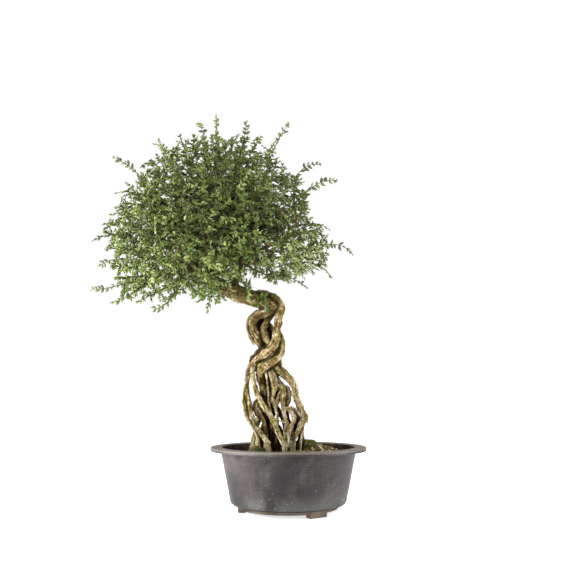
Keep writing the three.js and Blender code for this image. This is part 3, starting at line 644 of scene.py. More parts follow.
def pot_material():
    """Matte grey plastic: dust dried in runs and rings, pale specks near the foot, and painted
    light on the upper left and painted shade on the front's middle and the inner wall.
    """
    s = material("pot_plastic")
    foot, top = BODY_BOTTOM * MM, RIM_TOP * MM
    centred = s.from_axis()
    x, y, z = s.parts(centred)
    around = s.joined(s.sum_of("ARCTAN2", y, x), z, 0)
    runs = s.noise(s.scaled(around, (7, 9, 1)), 2.2, 4)
    rings = s.noise(s.scaled(around, (1.6, 130, 1)), 2.5, 4, 0.65, 0.4)
    clouds = s.noise(centred, 11, 5, 0.6, 0.6)
    grit = s.noise(centred, 420)
    tone = clouds * 0.6 + runs * 0.16 + rings * 0.24
    grey = s.ramp(
        tone, (0.37, 36, 33, 33), (0.47, 49, 45, 45), (0.56, 69, 64, 63), (0.68, 108, 102, 98)
    )
    purple = s.spots(centred, 17, 0.52, 0.66, roughness=0.5)
    brown = s.spots(centred, 14, 0.54, 0.68, 4)
    # The upper left is lighter: dust, and painted light.
    dust_and_painted_light = s.step(z, 0.05, 0.11) * s.step(x, 0.05, -0.05) * s.step(clouds, 0.36, 0.6)
    # The front's middle is darker: painted shade.
    painted_front_shade = s.step(x, -0.045, 0.012) * s.step(x, 0.085, 0.028) * s.step(y, 0, -0.06)
    painted_front_shade = painted_front_shade * s.step(clouds, 0.66, 0.44, 0.6, 1)
    low = s.step(z, 0.05, 0.016)
    specks = s.spots(centred, 260, 0.7, 0.76, 2, 0.4) * (low * 0.75 + 0.25)
    across = s.length(s.scaled(centred, (1, 1, 0)))
    inside = s.step(across - z * WALL_SLOPE, INNER_FOOT + 0.001, INNER_FOOT - 0.0005)
    underside = s.step(z, foot, foot - 0.0015) * s.step(clouds, 0.3, 0.6)
    layers = (
        (purple * 0.4, (64, 54, 60)),
        (brown * 0.2, (88, 78, 66)),
        (dust_and_painted_light * 0.3, (126, 118, 112)),
        (painted_front_shade * 0.85, (25, 19, 21)),
        (s.step(z, top - 0.0045, top - 0.0015) * 0.6, (132, 122, 110)),
        (low * s.step(clouds, 0.38, 0.56) * 0.5, (104, 107, 101)),
        (specks * 0.8, (206, 204, 198)),
        # painted shade on the inner wall
        (inside * s.step(z, top - 0.0005, top - 0.005) * 0.95, (20, 15, 11)),
        (s.step(grit, 0.55, 0.72) * 0.1, (130, 124, 118)),
        (underside * 0.6, (150, 134, 116)),
    )
    roughness = s.step(tone, 0.35, 0.65, 0.36, 0.5) + inside * 0.4
    normal = s.bump(grit * 0.35 + rings * 0.5 + clouds * 0.4, 0.0006, 0.5)
    return s.surface(s.layered(grey, layers), roughness, 0.33, Normal=normal)


def soil_material():
    """Dark crumbly soil with paler grains and green growth on its heaps."""
    s = material("soil")
    place = s.place()
    grains = s.noise(place, 520, 4, 0.7)
    lumps = s.noise(place, 95)
    earth = s.ramp(
        grains * 0.6 + lumps * 0.4,
        (0.34, 38, 29, 22), (0.5, 66, 51, 38), (0.62, 98, 78, 56), (0.76, 140, 118, 88),
    )
    growth = s.attribute("growth") * s.step(lumps, 0.4, 0.58)
    earth = s.mix(growth * 0.6, earth, (88, 88, 40))
    return s.surface(earth, 0.95, 0.2, Normal=s.bump(grains * 0.7 + lumps * 0.6, 0.003, 0.9))


def crumb_material():
    """Loose crumbs: each with its own tone, from black earth to pale grit."""
    s = material("soil_crumb")
    grains = s.noise(s.place(), 700)
    earth = s.ramp(
        s.attribute("tone") * 0.75 + grains * 0.3,
        (0.1, 36, 27, 20), (0.45, 78, 58, 40), (0.75, 134, 108, 76), (1, 206, 192, 160),
    )
    return s.surface(earth, 0.93, 0.2, Normal=s.bump(grains, 0.0012, 0.8))


def moss_material():
    """Moss: deep green low down, yellow-green at the tips of the tufts."""
    s = material("moss")
    patches = s.noise(s.place(), 90)
    deep = s.mix(s.step(patches, 0.42, 0.58), (30, 42, 14), (64, 54, 30))
    fresh = s.mix(s.step(patches, 0.44, 0.56), (84, 108, 34), (150, 142, 92))
    return s.surface(s.mix(s.attribute("lift"), deep, fresh), 0.9, 0.2)


def mud_and_shade_material():
    """Thin dried mud on the pot's inner wall, dark partly as painted shade."""
    s = material("mud_and_shade")
    place = s.place()
    stains = s.noise(place, 60, 4, 0.65)
    earth = s.mix(s.step(stains, 0.4, 0.65), (26, 19, 14), (64, 51, 40))
    normal = s.bump(s.noise(place, 500) + stains, 0.001, 0.7)
    return s.surface(earth, 0.95, 0.08, Normal=normal)


def floor_material():
    """A white floor that glows more far away, and lights the plant less than it shows."""
    s = material("studio_floor")
    place = s.from_axis()
    span = FLOOR_GLOW["from"], FLOOR_GLOW["to"], FLOOR_GLOW["near"], FLOOR_GLOW["far"]
    seen = s.node("LightPath", output="Is Camera Ray")
    glow = s.step(s.length(place), *span) * (seen * (1 - FLOOR_SHARE) + FLOOR_SHARE)
    white = s.mix(s.spots(place, 3, 0.3, 0.7, 2, 0.55), (240, 240, 240), (243, 243, 243))
    return s.surface(
        white, 0.9, 0.1, Emission_Color=s.joined(glow, glow, glow), Emission_Strength=1
    )


def placed(rows):
    """Rows of millimetres from the pot's axis, in metres in the frame."""
    moved = np.array(rows, float) * MM
    moved[:, 0] += AXIS.x
    moved[:, 1] += AXIS.y
    return moved


def in_frame(place):
    """One place in millimetres from the pot's axis, in metres in the frame."""
    return placed([place])[0]


def unit(vectors):
    lengths = np.linalg.norm(vectors, axis=-1, keepdims=True)
    return vectors / np.maximum(lengths, 1e-9)


def between(t, start, end, first, last):
    """The value at t on the straight line with the first row at start and the last at end."""
    return (end - t) / (end - start) * first + (t - start) / (end - start) * last


def spline(rows):
    """A centripetal Catmull-Rom line through rows of place and radius."""
    knots = np.vstack([2 * rows[0] - rows[1], rows, 2 * rows[-1] - rows[-2]])
    line = []
    for a, b, c, d in zip(knots, knots[1:], knots[2:], knots[3:]):
        steps = [np.linalg.norm((q - p)[:3]) ** 0.5 for p, q in ((a, b), (b, c), (c, d))]
        ta, tb, tc, td = np.concatenate([[0], np.cumsum(steps)])
        t = np.linspace(tb, tc, SPAN_POINTS, endpoint=False)[:, None]
        ab = between(t, ta, tb, a, b)
        bc = between(t, tb, tc, b, c)
        cd = between(t, tc, td, c, d)
        line.append(between(t, tb, tc, between(t, ta, tc, ab, bc), between(t, tb, td, bc, cd)))
    line.append(rows[-1:])
    return np.vstack(line)


def evenly(line, step):
    """The line with even steps, and how far along each point is."""
    lengths = np.linalg.norm(np.diff(line[:, :3], axis=0), axis=1)
    along = np.concatenate([[0], np.cumsum(lengths)])
    count = max(4, math.ceil(along[-1] / step) + 1)
    even = np.linspace(0, along[-1], count)
    columns = [np.interp(even, along, column) for column in line.T]
    return np.column_stack(columns), even


def curve_between(start, leaving, end, arriving, count):
    """A smooth line from start to end with those headings."""
    third = np.linalg.norm(end - start) / 3
    corners = np.array([start, start + unit(leaving) * third, end - unit(arriving) * third, end])
    t = np.linspace(0, 1, count)[:, None]
    shares = [(1 - t) ** 3, 3 * t * (1 - t) ** 2, 3 * t**2 * (1 - t), t**3]
    return sum(share * corner for share, corner in zip(shares, corners))


def tapered(route, first, last):
    """The route with radii that change evenly from the first to the last, in millimetres."""
    return np.column_stack([route, np.linspace(first, last, len(route)) * MM])


def directions_across(places):
    """Two directions across the line at each of its points, which don't twist."""
    tangents = unit(np.gradient(places, axis=0))
    across = np.zeros_like(places)
    across[0] = np.cross(tangents[0], (0.3, 1, 0.2))
    for i in range(len(places)):
        kept = across[max(i - 1, 0)]
        across[i] = unit(kept - tangents[i] * (kept @ tangents[i]))
    return across, np.cross(tangents, across)


class Waves:
    """Smooth random swellings through space, made of a few waves."""

    def __init__(self, rng, size, count):
        self.wave = rng.normal(0, 1, (count, 3))
        self.wave = unit(self.wave) * (2 * math.pi / size) * rng.uniform(0.6, 1.5, (count, 1))
        self.phase = rng.uniform(0, 2 * math.pi, count)

    def at(self, places):
        return np.sin(np.asarray(places) @ self.wave.T + self.phase).mean(axis=-1) * 2


def add_tube(bm, line, sides, along, relief=None):
    """Adds a closed tube round the line, and gives each point its grain: across, across, along."""
    grain = bm.verts.layers.float_vector.get("grain") or bm.verts.layers.float_vector.new("grain")
    places, radii = line[:, :3], line[:, 3]
    across, beside = directions_across(places)
    rings = len(line)
    made = bmesh.ops.create_grid(bm, x_segments=sides, y_segments=rings - 1, size=1)
    for vert in made["verts"]:
        ring = round((vert.co.y + 1) / 2 * (rings - 1))
        turn = (vert.co.x + 1) * math.pi
        radius = radii[ring]
        if relief:
            radius *= relief(turn, along[ring])
        out = across[ring] * math.cos(turn) + beside[ring] * math.sin(turn)
        vert.co = places[ring] + out * radius
        vert[grain] = (radii[ring] * math.cos(turn), radii[ring] * math.sin(turn), along[ring])
    bmesh.ops.remove_doubles(bm, verts=made["verts"], dist=1e-6)
    fresh = [vert for vert in made["verts"] if vert.is_valid]
    rims = {edge for vert in fresh for edge in vert.link_edges if edge.is_boundary}
    bmesh.ops.holes_fill(bm, edges=list(rims), sides=0)
    faces = {face for vert in fresh for face in vert.link_faces}
    bmesh.ops.recalc_face_normals(bm, faces=list(faces))


def mesh_of(name, bm):
    """The bmesh as a mesh."""
    mesh = bpy.data.meshes.new(name)
    bm.to_mesh(mesh)
    bm.free()
    return mesh


def new_piece(name, source, materials, smooth=True):
    """An object from a bmesh or a mesh, linked to the scene."""
    mesh = mesh_of(name, source) if isinstance(source, bmesh.types.BMesh) else source
    mesh.name = name
    for each in materials:
        mesh.materials.append(each)
    if smooth:
        mesh.shade_smooth()
    else:
        mesh.shade_flat()
    piece = bpy.data.objects.new(name, mesh)
    bpy.context.scene.collection.objects.link(piece)
    return piece


def apply_modifier(piece, kind, **settings):
    """Gives the piece the mesh that the modifier makes of it."""
    modifier = piece.modifiers.new(kind.lower(), kind)
    for name, value in settings.items():
        setattr(modifier, name, value)
    depsgraph = bpy.context.evaluated_depsgraph_get()
    mesh = bpy.data.meshes.new_from_object(piece.evaluated_get(depsgraph), depsgraph=depsgraph)
    piece.modifiers.clear()
    piece.data = mesh


def rows_of(data, key="vector"):
    """The vectors in a mesh's data, as rows."""
    flat = np.empty(len(data) * 3, np.float32)
    data.foreach_get(key, flat)
    return flat.reshape(-1, 3).astype(float)


def coordinates(mesh):
    return rows_of(mesh.vertices, "co")


def move_points(mesh, places):
    mesh.vertices.foreach_set("co", places.astype(np.float32).ravel())
    mesh.update()


def set_attribute(mesh, name, kind, values):
    layer = mesh.attributes.get(name) or mesh.attributes.new(name, kind, "POINT")
    key = "vector" if kind == "FLOAT_VECTOR" else "value"
    layer.data.foreach_set(key, np.asarray(values, np.float32).ravel())


def edge_pairs(mesh):
    pairs = np.empty(len(mesh.edges) * 2, np.int32)
    mesh.edges.foreach_get("vertices", pairs)
    return pairs.reshape(-1, 2)


def averaged(values, pairs, rounds):
    """The rows of values, each moved to the mean of its neighbours that many times."""
    count = len(values)
    ends = np.concatenate([pairs[:, 0], pairs[:, 1]])
    others = np.concatenate([pairs[:, 1], pairs[:, 0]])
    links = np.maximum(np.bincount(ends, minlength=count), 1)
    for _ in range(rounds):
        columns = [np.bincount(ends, values[others, i], count) for i in range(values.shape[1])]
        values = np.column_stack(columns) / links[:, None]
    return values


def tree_of(points):
    """The points in a tree that finds the nearest one."""
    tree = KDTree(len(points))
    for i, point in enumerate(points):
        tree.insert(point, i)
    tree.balance()
    return tree


def strand_relief(rng, radius):
    """How a strand's radius changes round it and along it."""
    phases = rng.uniform(0, 2 * math.pi, 6)
    twist = rng.uniform(-1, 1, 2) * SWELLING["twist"]
    length = SWELLING["lump_length"] * MM * (0.6 + radius / (8 * MM))

    def relief(turn, along):
        lobes = math.sin(2 * turn + phases[0] + twist[0] * along)
        lobes += 0.8 * math.sin(3 * turn + phases[1] + twist[1] * along)
        lumps = math.sin(2 * math.pi * along / length + phases[2] + math.sin(turn + phases[3]))
        lumps += 0.7 * math.sin(2 * math.pi * along / length * 0.43 + phases[4])
        return 1 + SWELLING["lobes"] * lobes / 1.8 + SWELLING["lumps"] * lumps / 1.7

    return relief


def strand_tone(name):
    """How pale a strand's bark is: 1 pale, 0 dark with painted shade."""
    tones = {PALE_STRANDS: 1.0, LIGHT_STRANDS: 0.7, EARTHY_STRANDS: 0.3, SHADED_STRANDS: 0.0}
    return next((tone for strands, tone in tones.items() if name in strands), 0.5)


def occlusion_shade(mesh, places, normals):
    """The share of what each point faces that other wood hides from near by, for painted shade."""
    tree = BVHTree.FromPolygons(places.tolist(), [face.vertices[:] for face in mesh.polygons])
    count, grazing = OCCLUSION_RAYS["rays"], OCCLUSION_RAYS["grazing"]
    lift = 1 - (2 * np.arange(count) + 1) / count
    turn = np.arange(count) * math.pi * (3 - math.sqrt(5))
    rays = np.column_stack([np.cos(turn), np.sin(turn), lift])
    rays[:, :2] *= np.sqrt(1 - lift**2)[:, None]
    facing = normals @ rays.T
    starts = places + normals * OCCLUSION_RAYS["start"] * MM
    hidden = np.zeros(len(places))
    for i, ray in enumerate(rays):
        for j in np.flatnonzero(facing[:, i] > grazing):
            if tree.ray_cast(starts[j], ray, OCCLUSION_RAYS["reach"] * MM)[2] is not None:
                hidden[j] += facing[j, i]
    return hidden / np.clip(facing - grazing, 0, None).sum(axis=1) * OCCLUSION_RAYS["strength"]


def roots_and_trunk(bark):
    """All strands grown together, with ridged bark."""
    rng = np.random.default_rng(11)
    bm = bmesh.new()
    tones = []
    for i, (name, rows) in enumerate(STRANDS.items()):
        line, along = evenly(spline(placed(rows)), STRAND_STEP * MM)
        relief = strand_relief(rng, line[:, 3].mean())
        before = len(bm.verts)
        add_tube(bm, line, STRAND_SIDES, along + i, relief)
        tones += [strand_tone(name)] * (len(bm.verts) - before)
    piece = new_piece("roots_and_trunk", bm, [bark])
    tubes = tree_of(coordinates(piece.data))
    grain = np.column_stack([rows_of(piece.data.attributes["grain"].data), tones])
    apply_modifier(piece, "REMESH", mode="VOXEL", voxel_size=VOXEL * MM, adaptivity=0)
    mesh = piece.data
    pairs = edge_pairs(mesh)
    places = averaged(coordinates(mesh), pairs, SMOOTHING["places"])
    wide = averaged(places, pairs, CREASE["rounds"])
    grain = grain[[tubes.find(place)[1] for place in places]]
    tone = averaged(grain[:, 3:], pairs, SMOOTHING["tone"])
    grain = grain[:, :3]
    move_points(mesh, places)
    normals = rows_of(mesh.vertex_normals)
    # How deep each point lies in a crease, for painted shade
    crease_shade = ((wide - places) * normals).sum(axis=1) / (CREASE["depth"] * MM)
    ridges = Waves(rng, RIDGES["width"] * MM, 24).at(grain * (1, 1, RIDGES["stretch"]))
    knobs = Waves(rng, KNOBS["width"] * MM, 16).at(places)
    rise = ridges * RIDGES["height"] + knobs * KNOBS["height"]
    thickness = np.hypot(grain[:, 0], grain[:, 1]) / (RIDGES["full_at"] * MM)
    places += normals * (rise * np.clip(thickness, RIDGES["least"], 1))[:, None] * MM
    move_points(mesh, places)
    # How much nearby wood hides each point, for painted shade
    hidden = averaged(occlusion_shade(mesh, places, normals)[:, None], pairs, SMOOTHING["occlusion_shade"])
    set_attribute(mesh, "grain", "FLOAT_VECTOR", grain)
    set_attribute(mesh, "crease_shade", "FLOAT", crease_shade - KNOBS["bare"] * knobs)
    set_attribute(mesh, "occlusion_shade", "FLOAT", hidden)
    set_attribute(mesh, "tone", "FLOAT", tone)
    mesh.shade_smooth()
    return piece


HEART = in_frame(CROWN["heart"])


def crown_share(places):
    """How far out places lie in the crown: 0 at its heart, 1 at the edge of its dense part."""
    away = places - HEART
    heading = np.degrees(np.arctan2(away[:, 2], away[:, 0])) % 360
    stations = np.arange(len(CROWN_REACH) + 1) * 360 / len(CROWN_REACH)
    reach = np.interp(heading, stations, CROWN_REACH + CROWN_REACH[:1]) * MM
    across = np.hypot(away[:, 0], away[:, 2]) / reach
    return np.hypot(across, away[:, 1] / (CROWN["deep"] * MM))


def near_places(place, spots):
    """How strongly the place lies in one of the spots of the front view, 0 to 1."""
    strength = 0
    for spot in spots:
        x = place[0] - AXIS.x - spot["x"] * MM
        z = place[2] - spot["z"] * MM
        away = math.hypot(x, z) / (spot["reach"] * MM)
        strength = max(strength, spot.get("share", 1) * max(0.0, 1.5 - away))
    return min(1, strength)


def twig_tips(rng):
    """Evenly scattered places for the tips of twigs, from the crown's inside out."""
    size = np.array([max(CROWN_REACH), CROWN["deep"], max(CROWN_REACH)]) * MM
    scattered = HEART + rng.uniform(-1, 1, (TWIG_TIPS["tries"], 3)) * size
    share = crown_share(scattered)
    kept = (share > TWIG_TIPS["innermost"]) & (share < TWIG_TIPS["outermost"])
    taken = np.empty((0, 3))
    for place in scattered[kept]:
        if len(taken) == TWIG_TIPS["count"]:
            break
        if rng.uniform() < near_places(place, THIN_PLACES):
            continue
        if len(taken) and np.linalg.norm(taken - place, axis=1).min() < TWIG_TIPS["apart"] * MM:
            continue
        taken = np.vstack([taken, place])
    return taken[np.argsort(crown_share(taken))]


def sighted(place):
    """The place moved, at its own depth, to where the photo shows a point of the middle plane."""
    eye = in_frame(CAMERA["at"])
    middle = np.array([place[0], AXIS.y, place[2]])
    return eye + (middle - eye) * (place[1] - eye[1]) / (AXIS.y - eye[1])


def shoot_ends():
    """Foot and tip of each shoot in the frame: its foot lies on the wood, its tip furthest away."""
    wood = tree_of(coordinates(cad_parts["roots_trunk_and_branches"].data))
    ends = {}
    for name in sorted(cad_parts):
        if not name.startswith("leafy_shoot"):
            continue
        places = coordinates(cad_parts[name].data)
        gaps = np.array([wood.find(place)[2] for place in places])
        foot = places[gaps < gaps.min() + 1 * MM].mean(axis=0)
        tip = places[np.linalg.norm(places - foot, axis=1).argmax()]
        ends[name] = (foot, sighted(tip) if len(ends) < OUTLINE_SHOOTS else tip)
    return ends


class Skeleton:
    """Points along the crown's wood, with headings, each belonging to a shoot."""

    def __init__(self):
        self.places = np.empty((0, 3))
        self.headings = np.empty((0, 3))
        self.owners = np.empty(0, int)

    def add(self, places, owner):
        self.places = np.vstack([self.places, places])
        self.headings = np.vstack([self.headings, unit(np.gradient(places, axis=0))])
        self.owners = np.concatenate([self.owners, np.full(len(places), owner)])

    def best_start(self, tip, nearest):
        """The point from which a twig reaches the tip with little turning."""
        away = tip - self.places
        length = np.linalg.norm(away, axis=1)
        ahead = (away * self.headings).sum(axis=1) / np.maximum(length, 1e-9)
        cost = length * (1 + TURNING_COST - TURNING_COST * ahead)
        return int(np.where(length < nearest, np.inf, cost).argmin())


def crown_wood(shoots):
    """Lines of the main and side branches, and the skeleton that twigs start from."""
    skeleton = Skeleton()
    lines = []
    main = Skeleton()
    for rows in BRANCHES.values():
        line, _ = evenly(spline(placed(rows)), BRANCH_STEP * MM)
        tip = line[-1] + (line[-1] - line[-3]) * BRANCH_TIP["reach"]
        tip[3] = BRANCH_TIP["radius"] * MM
        lines.append(np.vstack([line, tip]))
        main.add(line[3:, :3], 0)
    feet = np.array([foot for foot, _ in shoots.values()])
    owners = np.linalg.norm(main.places[:, None] - feet[None], axis=2).argmin(axis=1)
    for place, heading, owner in zip(main.places, main.headings, owners):
        skeleton.add(np.array([place, place + heading * MM]), owner)
    for owner, (foot, tip) in enumerate(shoots.values()):
        start = main.best_start(foot, SIDE_BRANCH["shortest"] * MM)
        leaving = unit(foot - main.places[start]) + main.headings[start]
        count = SIDE_BRANCH["points"]
        route = curve_between(main.places[start], leaving, foot, tip - foot, count)
        tube = tapered(route, SIDE_BRANCH["base"], SHOOT["base"])
        lines.append(evenly(tube, BRANCH_STEP * MM)[0])
        skeleton.add(route, owner)
    return lines, skeleton


def crown_branches(lines, material):
    """The bare wood inside the crown."""
    rng = np.random.default_rng(5)
    bm = bmesh.new()
    for line in lines:
        bent, along = evenly(line, BRANCH_STEP * MM)
        thick = bent[:, 3].max() > THICK_BRANCH * MM
        bent[:, 3] *= CROWN_WOOD
        relief = strand_relief(rng, bent[:, 3].mean()) if thick else None
        add_tube(bm, bent, BRANCH_SIDES["thick" if thick else "thin"], along, relief)
    return new_piece("crown_branches", bm, [material])


def leaf_template():
    """A pointed oval blade one unit long, folded a little at its midrib, with its base at 0."""
    bm = bmesh.new()
    lying = Matrix.Rotation(math.pi / 2, 4, "Y")
    bmesh.ops.create_uvsphere(bm, u_segments=4, v_segments=4, radius=1, matrix=lying)
    blade = bm.verts.layers.float_vector.new("blade")
    for vert in bm.verts:
        x, y, z = vert.co
        along = (x + 1) / 2
        inner = 0.001 < along < 0.999
        oval = max(0.0, math.sin(math.pi * along**0.82)) ** 0.8
        width = LEAF_SIZE["width"] / 2 * oval if inner else 0
        ring = max(1e-6, math.hypot(y, z))
        side, top = y / ring, z / ring
        fold = LEAF_SIZE["fold"] * abs(side) * width / LEAF_SIZE["width"] * 2
        droop = LEAF_SIZE["droop"] * along * along
        thick = top * LEAF_SIZE["thick"] / 2 if inner else 0
        vert[blade] = (along, abs(side), 1.0 if top < -0.5 else 0.0)
        vert.co = (along, side * width, thick + fold - droop)
    bmesh.ops.recalc_face_normals(bm, faces=bm.faces)
    for face in bm.faces:
        face.material_index = 1
    return mesh_of("leaf_template", bm)


def leaf_matrix(base, heading, face, length, width):
    along = Vector(heading).normalized()
    across = Vector(face).cross(along).normalized()
    up = along.cross(across)
    turn = Matrix((along * length, across * length * width, up * length)).transposed().to_4x4()
    turn.translation = Vector(base)
    return turn


class Scatter:
    """Many copies of one small shape, each with its own place, size and value."""

    def __init__(self, template):
        self.template = template
        self.matrices = []
        self.values = []

    def add(self, matrix, value):
        self.matrices.append(np.array(matrix))
        self.values.append(value)

    def mesh(self, attribute, kind):
        """All copies as one mesh, with the values as its attribute."""
        piece = bpy.data.objects.new("copies", self.template.copy())
        bpy.context.scene.collection.objects.link(piece)
        apply_modifier(piece, "ARRAY", count=len(self.matrices), use_relative_offset=False)
        made = piece.data
        bpy.data.objects.remove(piece)
        flat = coordinates(self.template)
        matrices = np.array(self.matrices)
        places = np.einsum("nij,vj->nvi", matrices[:, :3, :3], flat) + matrices[:, None, :3, 3]
        move_points(made, places)
        set_attribute(made, attribute, kind, np.repeat(self.values, len(flat), axis=0))
        return made


class Foliage:
    """One piece of twigs and leaves."""

    def __init__(self, template, seed):
        self.wood = bmesh.new()
        self.leaves = Scatter(template)
        self.draw = random.Random(seed)

    def spread(self, *sizes):
        return Vector([self.draw.gauss(0, size) for size in sizes])

    def twig(self, line, sides):
        add_tube(self.wood, line, sides, np.linspace(0, 1, len(line)) * 0.1)

    def leaf(self, base, heading, face, length, shade_and_tint):
        width = self.draw.uniform(0.85, 1.15)
        self.leaves.add(leaf_matrix(base, heading, face, length, width), shade_and_tint)

    def pair(self, place, heading, flat, young, size, fresh, lit):
        """Two leaves at nearly the same place of a twig. Young leaves are small and point ahead."""
        draw = self.draw
        side = heading.cross(flat)
        if side.length < 0.2:
            side = heading.cross(Vector((0.6, 0.8, 0.1)))
        side.normalize()
        side.rotate(Matrix.Rotation(draw.gauss(0, 0.3), 3, heading))
        front = side.cross(heading)
        for hand in (-1, 1):
            if draw.random() < LEAF_PAIR["missing"]:
                continue
            spread = LEAF_PAIR["spread"] - LEAF_PAIR["less"] * young
            turn = math.radians(spread + draw.gauss(0, 9))
            away = side * hand * math.sin(turn) + heading * math.cos(turn)
            away += UP * draw.gauss(0.02, 0.2)
            face = front + self.spread(0.3, 0.3, 0.3)
            long = draw.uniform(LEAF_SIZE["shortest"], LEAF_SIZE["longest"]) * MM
            long *= size * (1 - LEAF_SIZE["young"] * young)
            base = place + heading * draw.uniform(-1, 1) * LEAF_PAIR["stagger"] * MM
            withered = draw.random() < near_places(base, WITHERED_PLACES) * WITHERED_SHARE
            shade = progress(draw.gauss(lit, LEAF_SHADE_AND_TINT["spread"]))
            age = min(1, fresh * young + max(0, draw.gauss(-0.1, 0.16)))
            self.leaf(base, away, face, long, (shade, age, float(withered)))

    def leafy(self, line, bare, size, fresh, lit=0.5):
        """Near pairs of leaves along the line beyond its bare foot, and a small leaf at its end."""
        places = evenly(line, LEAFY_STEP * MM)[0][:, :3]
        headings = unit(np.gradient(places, axis=0))
        spans = len(places) - 1
        length = LEAFY_STEP * MM * spans
        flat = Vector(places[-1] - HEART).normalized() * 0.8 + UP * 0.7
        flat += self.spread(0.4, 0.4, 0.3)
        reached = length
        while reached > length * bare + 3 * MM:
            i = min(spans, int(reached / length * spans))
            young = math.exp(-(length - reached) / (LEAF_PAIR["young_reach"] * MM))
            self.pair(Vector(places[i]), Vector(headings[i]), flat, young, size, fresh, lit)
            spacing = LEAF_PAIR["spacing"] * MM * (1 - LEAF_PAIR["closer"] * young)
            reached -= spacing * self.draw.uniform(0.85, 1.15)
        tip = Vector(headings[-1])
        face = UP + Vector((self.draw.gauss(0, 0.3), -0.4, 0))
        long = LEAF_SIZE["shortest"] * MM * 0.8
        self.leaf(Vector(places[-1]) - tip * 3 * MM, tip, face, long, (0.6, fresh, 0))

    def piece(self, name, materials):
        """The twigs and leaves as one object."""
        mesh = self.leaves.mesh("shade_and_tint", "FLOAT_VECTOR")
        self.wood.from_mesh(mesh)
        bpy.data.meshes.remove(mesh)
        return new_piece(name, self.wood, materials)


def shoot_line(rng, foot, tip):
    """A shoot's stem: it arches, or sags where it hangs low on the left."""
    away = tip - foot
    length = np.linalg.norm(away)
    bend = rng.normal(0, SHOOT["bend"], 3) * length
    hangs = tip[2] < DROOP_BELOW and tip[0] < HEART[0]
    arch = SHOOT["sag"] if hangs else SHOOT["arch"] + SHOOT["arch_aside"] * abs(away[0]) / length
    rise = np.array([0, 0, arch * length]) + bend
    end = tip - away * (4 * MM / length)
    route = curve_between(foot, away + rise, end, away - rise, SHOOT["points"])
    return tapered(route, SHOOT["base"], SHOOT["tip"])


def twig_line(rng, base, heading, tip):
    """A twig that leaves the wood with a share of its heading and turns outwards at its tip."""
    away = tip - base
    length = np.linalg.norm(away)
    wobble = rng.normal(0, TWIG["wobble"], 3)
    leaving = unit(away) * 1.1 + heading * 0.7 + wobble
    aside = min(1, abs(tip[0] - HEART[0]) / 0.2)
    lift = TWIG["lift"] - TWIG["aside"] * aside if tip[2] > DROOP_BELOW else TWIG["droop"]
    arriving = unit(away) + unit(tip - HEART) * 0.7 + np.array([0, 0, lift]) - wobble
    count = 3 + round(length / (TWIG["step"] * MM))
    route = curve_between(base, leaving, tip, arriving, count)
    thick = TWIG["base"] * (1 + 0.5 * min(1, length / (TWIG["long"] * MM)))
    return tapered(route, thick, TWIG["tip"])


def leaf_size(rng, tip, inside):
    """How large the leaves of a twig are: larger low down, well inside and high at the back."""
    low = tip[2] < LOW_LEAVES["below"] and rng.uniform() < LOW_LEAVES["share"]
    size = LOW_LEAVES["size"] if low else rng.uniform(*LEAF_SIZE["usual"])
    size *= 1 + LEAF_SIZE["inside"] * inside
    if tip[1] > BACK_LEAVES["behind"] and tip[2] > BACK_LEAVES["above"]:
        size *= BACK_LEAVES["size"]
    return size


def progress(value, start=0, end=1):
    """How far the value has come from start to end, 0 to 1."""
    return min(1, max(0, (value - start) / (end - start)))


def leaf_light(tip, inside):
    """How light a twig's leaves are: painted shade inside and high up, painted light low down."""
    low, low_right, high = [progress(tip[2], *span) for span in LEAF_SHADE_AND_TINT["heights"]]
    low_right *= progress(tip[0] - AXIS.x, *LEAF_SHADE_AND_TINT["right"])
    added = LEAF_SHADE_AND_TINT["low"] * low + LEAF_SHADE_AND_TINT["low_right"] * low_right + LEAF_SHADE_AND_TINT["high"] * high
    return LEAF_SHADE_AND_TINT["usual"] + LEAF_SHADE_AND_TINT["inside"] * inside + added


def leafy_shoots(bark, leaf):
    """Each shoot of the CAD model as a spray of fine twigs, and the wood that carries them."""
    rng = np.random.default_rng(23)
    template = leaf_template()
    shoots = shoot_ends()
    lines, skeleton = crown_wood(shoots)
    sprays = [Foliage(template, 100 + i) for i in range(len(shoots))]
    for owner, (foot, tip) in enumerate(shoots.values()):
        line = shoot_line(rng, foot, tip)
        sprays[owner].twig(line, SHOOT["sides"])
        lit = rng.uniform(*SHOOT["light"])
        sprays[owner].leafy(line, SHOOT["bare"], SHOOT["size"], SHOOT["fresh"], lit)
        skeleton.add(line[:, :3], owner)
    glades = Waves(np.random.default_rng(31), GLADES["size"] * MM, 14)
    for tip in twig_tips(rng):
        start = skeleton.best_start(tip, TWIG["shortest"] * MM)
        owner = skeleton.owners[start]
        line = twig_line(rng, skeleton.places[start], skeleton.headings[start], tip)
        share = crown_share(tip[None])[0]
        inside = max(0, INSIDE - share)
        size = leaf_size(rng, tip, inside)
        lit = leaf_light(tip, inside) + GLADES["strength"] * float(glades.at(tip))
        lit += GLADES["twigs"] * rng.normal()
        fresh = 0.2 + 0.7 * max(0, share - OUTSIDE)
        sprays[owner].twig(line, TWIG["sides"])
        sprays[owner].leafy(line, LEAF_PAIR["bare"], size, fresh, lit)
        skeleton.add(line[:, :3], owner)
    for i, (name, spray) in enumerate(zip(shoots, sprays)):
        stands_for(spray.piece("shoot_%02d_leaves" % (i + 1), [bark, leaf]), name)
    return lines


